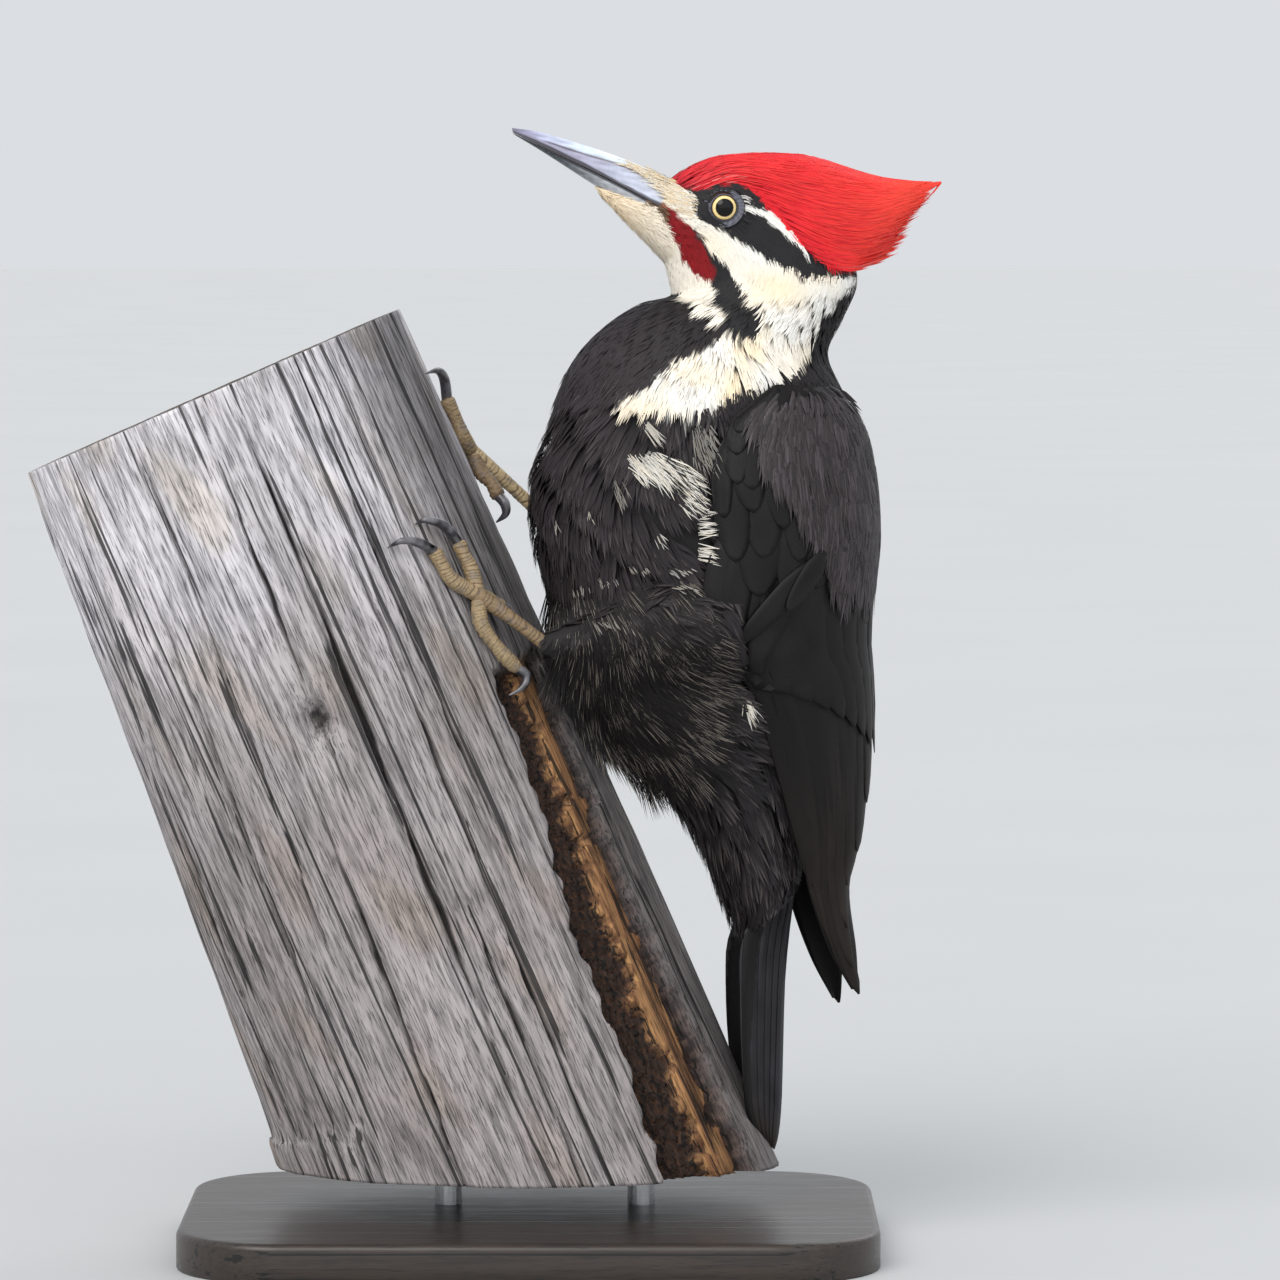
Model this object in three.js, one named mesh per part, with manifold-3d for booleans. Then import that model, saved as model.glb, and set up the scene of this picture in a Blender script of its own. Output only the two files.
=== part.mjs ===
// A life-size male pileated woodpecker clinging to a cut length of an old leaning fence post,
// which two short rods hold above a flat display base.
//
// Frame: millimetres, +Z up, origin at the centre of the base's underside. The bird's belly
// faces -X, towards the post, and its left side faces -Y.
//
// The bird's head, neck and trunk are one loft: each cross-section hangs between a point on
// the line of the back and a point on the line of the belly, and is parted with thin cuts.

import * as THREE from "three";
import { mergeVertices } from "three/addons/utils/BufferGeometryUtils.js";
import Module from "manifold-3d";

const wasm = await Module();
wasm.setup();

// ---------------------------------------------------------------- driving dimensions

const GAP = 0.3; // clearance between pieces that touch
const BODY_TURN = THREE.MathUtils.degToRad(7); // the whole bird faces a little towards -Y
const TURN_CENTRE = new THREE.Vector3(61, 0, 0);

const PERCH = {
  lean: THREE.MathUtils.degToRad(23.8), // from the vertical, its top towards -X
  foot: new THREE.Vector3(9, 8, 28.8), // where the axis meets the lower cut
  length: 306,
  across: 73, // half of the thickness seen from the side, at the top
  spread: 10, // how much further it reaches away from the bird at its foot
  deep: 61, // half of the thickness seen from the front
};
const BASE = { length: 250, width: 176, height: 14, corner: 40, bevel: 2.5 };
const ROD = { radius: 5, sink: 6 };
const ROD_PLACES = [-30, 40];

const EYE = { x: 67.7, z: 375, depth: 11.5, radius: 6.2 };

const COLOURS = {
  plumage: { color: 0x1d1b1c, roughness: 0.75, metalness: 0 },
  neck: { color: 0x262324, roughness: 0.8, metalness: 0 },
  cheek: { color: 0xe9e2d0, roughness: 0.85, metalness: 0 },
  crest: { color: 0xd3201f, roughness: 0.65, metalness: 0 },
  wing: { color: 0x211e1e, roughness: 0.55, metalness: 0 },
  bill: { color: 0x8b8f9a, roughness: 0.4, metalness: 0 },
  eye: { color: 0x14100c, roughness: 0.08, metalness: 0 },
  foot: { color: 0xa8926a, roughness: 0.7, metalness: 0 },
  claw: { color: 0x4c4b4e, roughness: 0.35, metalness: 0 },
  wood: { color: 0x8f8b88, roughness: 0.9, metalness: 0 },
  stand: { color: 0x2b2320, roughness: 0.4, metalness: 0 },
  steel: { color: 0x8d8f92, roughness: 0.3, metalness: 1 },
};

// ---------------------------------------------------------------- small helpers

const at = (x, y, z) => new THREE.Vector3(x, y, z);
const lerp = THREE.MathUtils.lerp;

/** Reads row number `where` of a table at a fraction, along a smooth Catmull-Rom curve. */
function along(table, where) {
  const last = table.length - 1;
  const i = Math.min(Math.max(Math.floor(where), 0), last - 1);
  const t = where - i;
  const rows = [i - 1, i, i + 1, i + 2].map((k) => table[Math.min(Math.max(k, 0), last)]);
  return rows[1].map((_, c) => {
    const [a, b, d, e] = rows.map((row) => row[c]);
    const slopes = [(d - a) / 2, (e - b) / 2];
    const [t2, t3] = [t * t, t * t * t];
    return (
      (2 * t3 - 3 * t2 + 1) * b +
      (t3 - 2 * t2 + t) * slopes[0] +
      (3 * t2 - 2 * t3) * d +
      (t3 - t2) * slopes[1]
    );
  });
}

/** A closed solid through rings of equal point count, its ends closed to their middles. */
function loft(rings) {
  const sides = rings[0].length;
  const points = rings.flat();
  const faces = [];
  for (let r = 0; r < rings.length - 1; r++)
    for (let k = 0; k < sides; k++) {
      const [a, b] = [r * sides + k, r * sides + ((k + 1) % sides)];
      faces.push([a, b, b + sides], [a, b + sides, a + sides]);
    }
  for (const [r, flip] of [[0, true], [rings.length - 1, false]]) {
    const middle = rings[r].reduce((sum, p) => sum.add(p), at(0, 0, 0)).divideScalar(sides);
    const m = points.push(middle) - 1;
    for (let k = 0; k < sides; k++) {
      const [a, b] = [r * sides + k, r * sides + ((k + 1) % sides)];
      faces.push(flip ? [b, a, m] : [a, b, m]);
    }
  }
  const volume = faces.reduce((sum, [a, b, c]) => {
    return sum + points[a].dot(points[b].clone().cross(points[c]));
  }, 0);
  const turned = volume < 0 ? faces.map(([a, b, c]) => [a, c, b]) : faces;
  return toSolid(points, turned);
}

function toSolid(points, faces) {
  const geometry = new THREE.BufferGeometry().setFromPoints(points);
  geometry.setIndex(faces.flat());
  return solidOf(geometry);
}

/** A three.js geometry as a manifold solid. */
function solidOf(geometry) {
  const bare = geometry.clone();
  bare.deleteAttribute("normal");
  bare.deleteAttribute("uv");
  const merged = mergeVertices(bare, 1e-4);
  return new wasm.Manifold(
    new wasm.Mesh({
      numProp: 3,
      vertProperties: new Float32Array(merged.attributes.position.array),
      triVerts: new Uint32Array(merged.index.array),
    }),
  );
}

/** The largest single body of a solid, as crumbs can be left beside a cut. */
function largest(solid) {
  return solid.decompose().reduce((best, s) => (s.volume() > best.volume() ? s : best));
}

function geometryOf(solid) {
  const mesh = solid.getMesh();
  const geometry = new THREE.BufferGeometry();
  geometry.setAttribute("position", new THREE.BufferAttribute(mesh.vertProperties, 3));
  geometry.setIndex(new THREE.BufferAttribute(mesh.triVerts, 1));
  geometry.computeVertexNormals();
  return geometry;
}

const group = new THREE.Group();

function add(name, solid, look) {
  const mesh = new THREE.Mesh(geometryOf(largest(solid)), new THREE.MeshStandardMaterial(look));
  mesh.name = name;
  group.add(mesh);
}

/** Turns a point of the symmetrical bird to the way the bird faces. */
function turned(p) {
  return p.sub(TURN_CENTRE).applyAxisAngle(at(0, 0, 1), BODY_TURN).add(TURN_CENTRE);
}

// ---------------------------------------------------------------- head, neck and trunk

// back x, back z, belly x, belly z, half width, and how far the widest place lies to the back
const BODY_LINES = [
  [50.5, 384.5, 42.5, 372.0, 7.4, 0.0], // bill base
  [58.0, 388.0, 45.0, 364.3, 10.6, 0.0],
  [70.2, 390.0, 47.5, 357.1, 14.2, 0.05], // eye
  [86.4, 389.0, 49.3, 351.0, 16.2, 0.1], // crown
  [102.6, 379.0, 50.4, 346.5, 17.6, 0.1],
  [113.6, 364.3, 51.1, 343.4, 18.6, 0.1], // back of the head
  [118.0, 348.4, 48.2, 342.2, 20.4, 0.05],
  [112.4, 334.0, 39.6, 340.6, 23.5, 0.05], // neck
  [107.2, 322.0, 27.0, 332.6, 28.5, 0.05],
  [113.6, 307.0, 15.1, 319.7, 34.0, 0.1], // shoulders
  [119.4, 291.0, 6.1, 298.8, 38.0, 0.1],
  [122.6, 273.6, -0.7, 276.5, 40.5, 0.08], // breast
  [122.4, 253.8, 0.4, 255.6, 41.0, 0.06],
  [118.6, 230.4, 6.5, 234.0, 39.5, 0.06], // belly
  [112.6, 205.2, 16.2, 203.4, 35.5, 0.0],
  [106.0, 180.0, 36.7, 177.5, 29.5, 0.0],
  [100.6, 156.0, 56.2, 152.5, 24.0, 0.0], // vent
  [97.4, 134.6, 74.5, 112.3, 20.0, 0.1], // root of the tail
];
const [HEAD_END, NECK_END, BODY_END] = [5.6, 8.4, BODY_LINES.length - 1];

/** A point of the body's surface, before the bird is turned: `part` runs along BODY_LINES,
 *  and `angle` goes round the section from the back by the left side to the belly. */
function bodyPoint(part, angle, grow = 0) {
  const [bx, bz, vx, vz, half, shift] = along(BODY_LINES, part);
  const axis = at(bx - vx, 0, bz - vz).multiplyScalar(0.5);
  const reach = axis.length();
  const middle = at(bx + vx, 0, bz + vz).multiplyScalar(0.5);
  const up = Math.cos(angle) + shift * Math.sin(angle) ** 2;
  axis.normalize().multiplyScalar(up * (reach + grow));
  return turned(middle.add(axis).add(at(0, -Math.sin(angle) * (half + grow), 0)));
}

function bodyLoft(from, to, steps, sides, grow = 0) {
  const rings = [];
  for (let i = 0; i <= steps; i++)
    rings.push(
      Array.from({ length: sides }, (_, k) =>
        bodyPoint(lerp(from, to, i / steps), (2 * Math.PI * k) / sides, grow),
      ),
    );
  return loft(rings);
}

const CUT = 0.012; // of a row of BODY_LINES on each side of a cut
const SIDES = 20; // of each cross-section of the body
// from, to and steps of each length between two cuts
const LENGTHS = {
  head: [0, HEAD_END - CUT, 10],
  neck: [HEAD_END + CUT, NECK_END - CUT, 5],
  trunk: [NECK_END + CUT, BODY_END, 17],
};
const bodyGrown = [
  ...Object.values(LENGTHS),
  [HEAD_END - 0.1, HEAD_END + 0.1, 1],
  [NECK_END - 0.1, NECK_END + 0.1, 1],
]
  .map((length) => bodyLoft(...length, SIDES, GAP))
  .reduce((a, b) => a.add(b));

/** The feathers under the chin, which reach forward along the lower bill. */
function chin() {
  const [steps, sides] = [3, 10];
  const rings = [];
  for (let i = 0; i <= steps; i++) {
    const t = i / steps;
    const middle = at(lerp(25.5, 50, t), 0, lerp(381.5, 368.0, t));
    const [high, wide] = [lerp(1.4, 10.5, t), lerp(1.6, 9.4, t)];
    rings.push(
      Array.from({ length: sides }, (_, k) => {
        const a = (2 * Math.PI * k) / sides;
        const across = at(0.5, 0, 0.86).multiplyScalar(Math.cos(a) * high);
        return turned(middle.clone().add(across).add(at(0, Math.sin(a) * wide, 0)));
      }),
    );
  }
  return loft(rings);
}

// ---------------------------------------------------------------- bill

// culmen x, z, cutting edge x, z, lower ridge x, z, half width
const BILL_LINES = [
  [-6.6, 403.4, -6.2, 401.6, -5.2, 400.6, 1.1],
  [5.4, 401.4, 5.4, 395.8, 5.4, 394.2, 2.7],
  [25.2, 395.4, 25.2, 386.2, 25.2, 381.6, 4.9],
  [39.6, 390.0, 39.6, 378.6, 39.6, 373.3, 6.3],
  [54.0, 383.4, 52.0, 372.0, 50.0, 367.0, 7.0],
];

/** Rings of one half of the bill: a roof of flat facets over the cutting edge, or a keel. */
function billHalf(upper, grow = 0) {
  const steps = 8;
  const facets = [[0, 1], [0.42, 0.86], [0.78, 0.52], [1, 0.05], [0.55, 0], [0, 0]];
  const rings = [];
  for (let i = 0; i <= steps; i++) {
    const row = along(BILL_LINES, ((BILL_LINES.length - 1) * i) / steps);
    const edge = at(row[2], 0, row[3]);
    const ridge = upper ? at(row[0], 0, row[1]) : at(row[4], 0, row[5]);
    const rise = ridge.clone().sub(edge);
    const half = row[6] * (upper ? 1 : 0.92) + grow;
    const start = rise.clone().setLength(upper ? 0.15 : -0.15 + GAP);
    const tall = Math.max(rise.length() - GAP / 2, 0.7) + grow;
    const place = (side, [w, h]) => {
      const p = edge.clone().add(start).add(rise.clone().setLength(h * tall - (h ? 0 : grow)));
      return turned(p.add(at(0, side * w * half, 0)));
    };
    const left = facets.map((f) => place(-1, f));
    const right = facets.slice(1, -1).reverse().map((f) => place(1, f));
    rings.push([...left, ...right]);
  }
  return loft(rings);
}

const bills = { bill_upper: billHalf(true), bill_lower: billHalf(false) };
const billsGrown = billHalf(true, GAP).add(billHalf(false, GAP));

// ---------------------------------------------------------------- eyes

function eyeBall(side, grow = 0) {
  const middle = turned(at(EYE.x, side * EYE.depth, EYE.z));
  const ball = new THREE.SphereGeometry(EYE.radius + grow, 14, 8);
  return solidOf(ball.translate(middle.x, middle.y, middle.z));
}

let head = bodyLoft(...LENGTHS.head, SIDES).add(chin());
head = head.subtract(billsGrown);
for (const side of [-1, 1]) head = head.subtract(eyeBall(side, GAP));
add("head", head, COLOURS.cheek);
add("neck", bodyLoft(...LENGTHS.neck, SIDES), COLOURS.neck);
const trunk = bodyLoft(...LENGTHS.trunk, SIDES);

for (const [name, solid] of Object.entries(bills)) add(name, solid, COLOURS.bill);
add("eye_left", eyeBall(-1), COLOURS.eye);
add("eye_right", eyeBall(1), COLOURS.eye);

// ---------------------------------------------------------------- crest

// upper x, z, lower x, z, half width
const CREST_LINES = [
  [50.5, 385.0, 53.0, 383.0, 3.0],
  [60.5, 391.2, 61.0, 384.0, 8.6],
  [76.0, 394.4, 78.0, 383.0, 12.4],
  [96.0, 394.0, 92.0, 372.0, 14.6],
  [112.0, 389.6, 104.0, 357.0, 14.0],
  [126.0, 385.4, 118.0, 352.0, 9.6],
  [140.0, 383.8, 133.0, 366.0, 4.4],
  [148.0, 384.2, 147.0, 381.6, 1.0],
];

function crest() {
  const [steps, sides] = [11, 14];
  const rings = [];
  for (let i = 0; i <= steps; i++) {
    const [ux, uz, lx, lz, half] = along(CREST_LINES, ((CREST_LINES.length - 1) * i) / steps);
    const middle = at(ux + lx, 0, uz + lz).multiplyScalar(0.5);
    const axis = at(ux - lx, 0, uz - lz).multiplyScalar(0.5);
    rings.push(
      Array.from({ length: sides }, (_, k) => {
        const a = (2 * Math.PI * k) / sides;
        const p = middle.clone().addScaledVector(axis, Math.cos(a));
        return turned(p.add(at(0, Math.sin(a) * half, 0)));
      }),
    );
  }
  return loft(rings);
}

add("crest", crest().subtract(bodyGrown).subtract(billsGrown), COLOURS.crest);

// ---------------------------------------------------------------- wings

// height, front edge x, y, back edge x, y, outward bulge; y is measured from the midline
const WING_LINES = [
  [312, 86, 34, 106, 22, 2.0],
  [300, 70, 38, 117, 11, 11.0],
  [282, 62, 41, 122.6, 6, 16.5],
  [258, 61, 43.5, 124.6, 3, 18.0],
  [236, 57.5, 43, 123, 2.5, 18.0],
  [218, 61, 40, 122.2, 2.5, 17.0],
  [205, 77, 36, 122.4, 3, 13.5],
  [176, 87, 30, 123, 4, 10.0],
  [148, 95, 25, 120.5, 6, 6.5],
  [130, 99, 22.5, 116.5, 8, 4.2],
  [108, 107.5, 19.5, 118.5, 12, 1.6],
  [92, 117.2, 16.8, 118.8, 15.6, 0.3],
];
const WING_THICKNESS = 4.2;
const RIGHT_WING_HANGS = [2.5, 7]; // its tip lies forward and lower than the left one's

/** The middle surface of a folded wing: `down` runs along WING_LINES, `over` from front to back. */
function wingPoint(side, down, over, lift) {
  const [z, fx, fy, bx, by, bulge] = along(WING_LINES, down);
  const out = Math.sin(Math.PI * over) ** 0.6 * bulge;
  const slant = at(bx - fx, by - fy, 0);
  const normal = at(-slant.y, slant.x, 0).normalize();
  const flat = at(lerp(fx, bx, over), lerp(fy, by, over), z);
  const p = flat.addScaledVector(normal, out + lift);
  const hang = side > 0 ? (down / (WING_LINES.length - 1)) ** 2 : 0;
  return at(p.x - RIGHT_WING_HANGS[0] * hang, side * p.y, p.z - RIGHT_WING_HANGS[1] * hang);
}

function wing(side) {
  const [steps, across] = [16, 6];
  const rings = [];
  for (let i = 0; i <= steps; i++) {
    const down = ((WING_LINES.length - 1) * i) / steps;
    const thick = WING_THICKNESS * lerp(1, 0.3, i / steps) * Math.min(1, 0.35 + i / 4);
    const ring = [];
    for (let k = 0; k <= across; k++) ring.push(wingPoint(side, down, k / across, 0));
    for (let k = across; k >= 0; k--) {
      const over = k / across;
      const swell = 0.12 + 0.88 * Math.sin(Math.PI * over) ** 0.5;
      ring.push(wingPoint(side, down, over, -thick * swell));
    }
    rings.push(ring.map(turned));
  }
  return loft(rings);
}

const wings = { wing_left: wing(-1), wing_right: wing(1) };

// ---------------------------------------------------------------- tail

// ridge x, z, edge x, z, half width: the feathers close like a roof along the middle pair
const TAIL_LINES = [
  [97.0, 134.0, 75.0, 112.6, 17.5],
  [94.6, 117.0, 74.2, 104.0, 20.0],
  [92.6, 97.0, 74.0, 92.0, 21.5],
  [91.8, 72.0, 74.6, 72.0, 20.0],
  [91.2, 52.0, 76.4, 54.0, 16.0],
  [90.0, 40.0, 80.4, 43.0, 10.0],
  [88.4, 34.4, 86.4, 36.0, 3.0],
];
const TAIL_THICKNESS = 3.6;

function tail() {
  const [steps, across] = [10, 8];
  const rings = [];
  for (let i = 0; i <= steps; i++) {
    const [rx, rz, ex, ez, half] = along(TAIL_LINES, ((TAIL_LINES.length - 1) * i) / steps);
    const thick = lerp(TAIL_THICKNESS, 1.6, i / steps);
    const roof = (w, inward) => {
      const fall = Math.abs(w) ** 1.5;
      return turned(at(lerp(rx, ex, fall) - inward, w * half, lerp(rz, ez, fall)));
    };
    const ring = [];
    for (let k = 0; k <= across; k++) ring.push(roof((2 * k) / across - 1, 0));
    for (let k = across; k >= 0; k--) {
      const w = (2 * k) / across - 1;
      ring.push(roof(w, thick * (1.0 - 0.7 * Math.abs(w))));
    }
    rings.push(ring);
  }
  return loft(rings);
}

const rump = bodyLoft(...LENGTHS.trunk, SIDES, GAP).add(bodyLoft(BODY_END - 0.1, BODY_END + 0.03, 1, SIDES, GAP));

// ---------------------------------------------------------------- perch

const perchUp = at(-Math.sin(PERCH.lean), 0, Math.cos(PERCH.lean));
const perchOut = at(Math.cos(PERCH.lean), 0, Math.sin(PERCH.lean));

/** A place on the post: `up` along its axis, `round` from the side that faces the bird
 *  (positive towards -Y), and `lift` off its surface. */
function onPerch(up, round, lift) {
  const flute = 1 + 0.012 * Math.sin(5 * round + 1) + 0.008 * Math.sin(9 * round + up / 70);
  const spread = PERCH.spread * (1 - up / PERCH.length);
  const [a, b] = [PERCH.across * flute + spread + lift, PERCH.deep * flute + lift];
  return PERCH.foot
    .clone()
    .addScaledVector(perchUp, up)
    .addScaledVector(perchOut, a * Math.cos(round) - spread)
    .add(at(0, -b * Math.sin(round), 0));
}

function post(lift = 0) {
  const [steps, sides] = [4, 30];
  const rings = [];
  for (let i = 0; i <= steps; i++)
    rings.push(
      Array.from({ length: sides }, (_, k) => {
        const round = (2 * Math.PI * k) / sides;
        const p = onPerch((PERCH.length * i) / steps, round, lift);
        if (i > 0) return p;
        // the lower end is sawn level, parallel to the base
        const drop = (p.z - PERCH.foot.z) / Math.cos(PERCH.lean);
        return p.addScaledVector(perchUp, -drop);
      }),
    );
  return loft(rings);
}

/** A long wedge-shaped weather crack, from one height to another. */
function crack(round, from, to, wide, deep) {
  const rings = [0, 0.25, 0.5, 0.75, 1].map((t) => {
    const up = lerp(from, to, t);
    const open = (0.12 + Math.sin(Math.PI * t)) * wide;
    const half = open / (2 * PERCH.across);
    return [
      onPerch(up, round - half, 3),
      onPerch(up, round + half, 3),
      onPerch(up, round, -deep * (0.2 + Math.sin(Math.PI * t))),
    ];
  });
  return loft(rings);
}

const CRACKS = [
  [1.42, 40, 290, 3.4, 13],
  [0.98, -10, 190, 3.0, 11],
  [2.2, 60, 270, 3.2, 12],
  [-1.7, 20, 260, 3.4, 12],
  [0.52, -14, 150, 15, 17], // the rotten split beside the tail
];
let perch = post();
for (const place of CRACKS) perch = perch.subtract(crack(...place));
const perchGrown = post(GAP);
add("tail", tail().subtract(rump).subtract(perchGrown), COLOURS.plumage);

// ---------------------------------------------------------------- legs

/** A round limb through points, each with its radius. */
function limb(points, radii, sides = 8, steps = 3, grow = 0) {
  const curve = new THREE.CatmullRomCurve3(points);
  const count = (points.length - 1) * steps;
  const frames = curve.computeFrenetFrames(count, false);
  const rings = [];
  for (let i = 0; i <= count; i++) {
    const middle = curve.getPoint(i / count);
    const [radius] = along(radii.map((r) => [r]), i / steps);
    rings.push(
      Array.from({ length: sides }, (_, k) => {
        const a = (2 * Math.PI * k) / sides;
        return middle
          .clone()
          .addScaledVector(frames.normals[i], Math.cos(a) * (radius + grow))
          .addScaledVector(frames.binormals[i], Math.sin(a) * (radius + grow));
      }),
    );
  }
  return loft(rings);
}

// Toes are numbered as on a living bird: 1 is the small hind toe, 2 and 3 point up the post,
// and 4 is the long outer toe, which points down. Each place is up, round and lift.
const LEGS = {
  left: {
    thigh: [at(74, -26, 227), at(50, -30, 225), at(25, -29.5, 221), at(4, -28.5, 219.5)],
    hock: at(9, -28, 217.5),
    ankle: [202, 0.665, 4.6],
    toes: {
      1: [[200.5, 0.6, 3.0], [197.5, 0.54, 2.3], [195, 0.5, 2.0]],
      2: [[211.5, 0.62, 2.9], [217, 0.625, 3.0], [221.5, 0.62, 2.7]],
      3: [[210.5, 0.75, 2.9], [217, 0.775, 3.1], [222.5, 0.78, 2.8]],
      4: [[193, 0.7, 3.0], [184.5, 0.675, 2.8], [177.5, 0.64, 2.9], [172.5, 0.6, 2.8]],
    },
    claws: {
      1: [[193, 0.475, 2.6], [191, 0.46, 1.0]],
      2: [[229.5, 0.69, 4.8], [234, 0.765, 4.2], [234.2, 0.8, 0.6]],
      3: [[228, 0.87, 4.8], [231, 0.95, 4.4], [230.8, 1.01, 0.5]],
      4: [[168.5, 0.59, 4.4], [165.5, 0.63, 3.2], [165, 0.69, 0.5]],
    },
  },
  right: {
    thigh: [at(72, 24, 246), at(48, 28, 254), at(26, 27.5, 260), at(8, 26, 262)],
    hock: at(7.5, 25.5, 259.5),
    ankle: [247.5, -0.2, 4.4],
    toes: {
      1: [[246, -0.34, 3.2], [241, -0.42, 2.3], [236, -0.48, 2.0]],
      2: [[253, -0.3, 2.9], [260, -0.4, 3.0], [266, -0.46, 2.6]],
      3: [[254, -0.14, 2.9], [261, -0.13, 3.0], [269, -0.11, 2.8]],
      4: [[240, -0.15, 3.6], [235, -0.1, 5.0], [230, -0.06, 5.2]],
    },
    claws: {
      1: [[233, -0.51, 2.6], [230.5, -0.53, 1.0]],
      2: [[273, -0.5, 4.6], [277, -0.56, 4.0], [279, -0.64, 0.6]],
      3: [[276, -0.08, 4.8], [280, 0.01, 4.2], [281, 0.12, 0.5]],
      4: [[226.5, -0.03, 6.2], [223, -0.02, 5.0], [221.5, -0.02, 0.6]],
    },
  },
};
const THIGH = [21, 18.5, 11.5, 4.6];
const SHANK = [2.5, 2.2, 2.6];
const HEEL = { small: 1.9, large: 2.7 };

for (const [side, leg] of Object.entries(LEGS)) {
  const ankle = onPerch(...leg.ankle);
  const shankPoints = [leg.hock, leg.hock.clone().lerp(ankle, 0.5), ankle];
  const thigh = limb(leg.thigh, THIGH, 12, 3).subtract(bodyGrown);
  const thighGrown = limb(leg.thigh, THIGH, 12, 3, GAP);
  add("thigh_" + side, thigh.subtract(perchGrown), COLOURS.plumage);
  const shank = limb(shankPoints, SHANK, 8, 2).subtract(thighGrown).subtract(perchGrown);
  const shankGrown = limb(shankPoints, SHANK, 8, 2, GAP);
  add("shank_" + side, shank, COLOURS.foot);

  let taken = shankGrown.add(perchGrown).add(thighGrown);
  for (const number of [4, 3, 2, 1]) {
    const knuckles = leg.toes[number].map((place) => onPerch(...place));
    const thick = number === 1 ? HEEL.small : HEEL.large;
    const radii = [thick * 0.95, ...knuckles.map((_, i) => thick * (i % 2 ? 0.86 : 1))];
    const toePoints = [ankle, ...knuckles];
    const toe = largest(limb(toePoints, radii, 7, 2).subtract(taken));
    taken = taken.add(limb(toePoints, radii, 7, 2, GAP));
    add(`toe_${side}_${number}`, toe, COLOURS.foot);
    const start = knuckles[knuckles.length - 1];
    const hook = [start, ...leg.claws[number].map((place) => onPerch(...place))];
    const taper = number === 1 ? [1.5, 1.1, 0.4] : [2.0, 1.9, 1.4, 0.35];
    const claw = limb(hook, taper, 6, 2).subtract(taken);
    taken = taken.add(limb(hook, taper, 6, 2, GAP));
    add(`claw_${side}_${number}`, claw, COLOURS.claw);
  }
}

const thighsGrown = Object.values(LEGS)
  .map((leg) => limb(leg.thigh, THIGH, 12, 3, GAP))
  .reduce((a, b) => a.add(b));
add("trunk", trunk, COLOURS.plumage);
for (const [name, solid] of Object.entries(wings)) {
  const clear = solid.subtract(bodyGrown).subtract(thighsGrown);
  add(name, clear, COLOURS.wing);
}
add("perch", perch, COLOURS.wood);

// ---------------------------------------------------------------- display stand

/** A flat board with round corners and a bevelled upper edge. */
function base() {
  const [l, w, r] = [BASE.length / 2, BASE.width / 2, BASE.corner];
  const inset = [
    [0, 0],
    [0, BASE.height - BASE.bevel],
    [BASE.bevel, BASE.height],
  ];
  const rings = inset.map(([inward, z]) => {
    const ring = [];
    for (let quarter = 0; quarter < 4; quarter++)
      for (let k = 0; k <= 5; k++) {
        const a = ((quarter + k / 5) * Math.PI) / 2;
        const cx = (l - r) * (quarter === 0 || quarter === 3 ? 1 : -1);
        const cy = (w - r) * (quarter < 2 ? 1 : -1);
        ring.push(at(cx + (r - inward) * Math.cos(a), cy + (r - inward) * Math.sin(a), z));
      }
    return ring;
  });
  return loft(rings);
}

function rod(x, grow = 0) {
  const bottom = BASE.height - ROD.sink - grow;
  const top = PERCH.foot.z + ROD.sink + grow;
  const pin = new THREE.CylinderGeometry(ROD.radius + grow, ROD.radius + grow, top - bottom, 20);
  return solidOf(pin.rotateX(Math.PI / 2).translate(x, PERCH.foot.y, (top + bottom) / 2));
}

let board = base();
let drilled = perch;
for (const x of ROD_PLACES) {
  board = board.subtract(rod(x, GAP));
  drilled = drilled.subtract(rod(x, GAP));
}
group.getObjectByName("perch").geometry = geometryOf(largest(drilled));
add("stand_base", board, COLOURS.stand);
ROD_PLACES.forEach((x, i) => add(`stand_rod_${i + 1}`, rod(x), COLOURS.steel));

export default group;
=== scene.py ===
# %% [markdown]
# # A male pileated woodpecker on an old post
# A life-size museum model: the bird clings to a weathered post on a small stand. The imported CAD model
# is the frame, in metres; shapes are worked out in millimetres with numpy.

import bpy
import numpy as np
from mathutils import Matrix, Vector
from numpy import arange, array, clip, concatenate, cos, interp, linspace, maximum, pi, sin, stack


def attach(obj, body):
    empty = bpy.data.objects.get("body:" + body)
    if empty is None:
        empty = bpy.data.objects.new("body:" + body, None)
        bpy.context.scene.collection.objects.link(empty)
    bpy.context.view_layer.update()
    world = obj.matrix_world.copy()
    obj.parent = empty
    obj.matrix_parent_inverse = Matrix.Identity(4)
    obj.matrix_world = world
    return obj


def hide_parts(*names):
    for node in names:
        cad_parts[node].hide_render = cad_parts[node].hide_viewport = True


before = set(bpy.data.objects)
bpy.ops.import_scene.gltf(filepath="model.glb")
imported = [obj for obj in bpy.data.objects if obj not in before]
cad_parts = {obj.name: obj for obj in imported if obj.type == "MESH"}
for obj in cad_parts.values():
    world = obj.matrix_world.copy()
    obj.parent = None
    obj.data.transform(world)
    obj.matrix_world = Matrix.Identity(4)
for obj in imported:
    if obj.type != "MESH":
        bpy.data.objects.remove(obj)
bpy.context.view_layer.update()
MM = 0.001

# %% [markdown]
# ## Camera
# The bird is seen square from its left side, through a long lens, so that lengths keep their
# proportions.

# %% Camera
VIEW_WIDTH = 0.4608  # metres across the view, at the bird
VIEW_MIDDLE = Vector((0.0396, 0, 0.2196))
CAMERA_DISTANCE = 2.4
CAMERA_RISE = np.radians(4)

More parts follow.
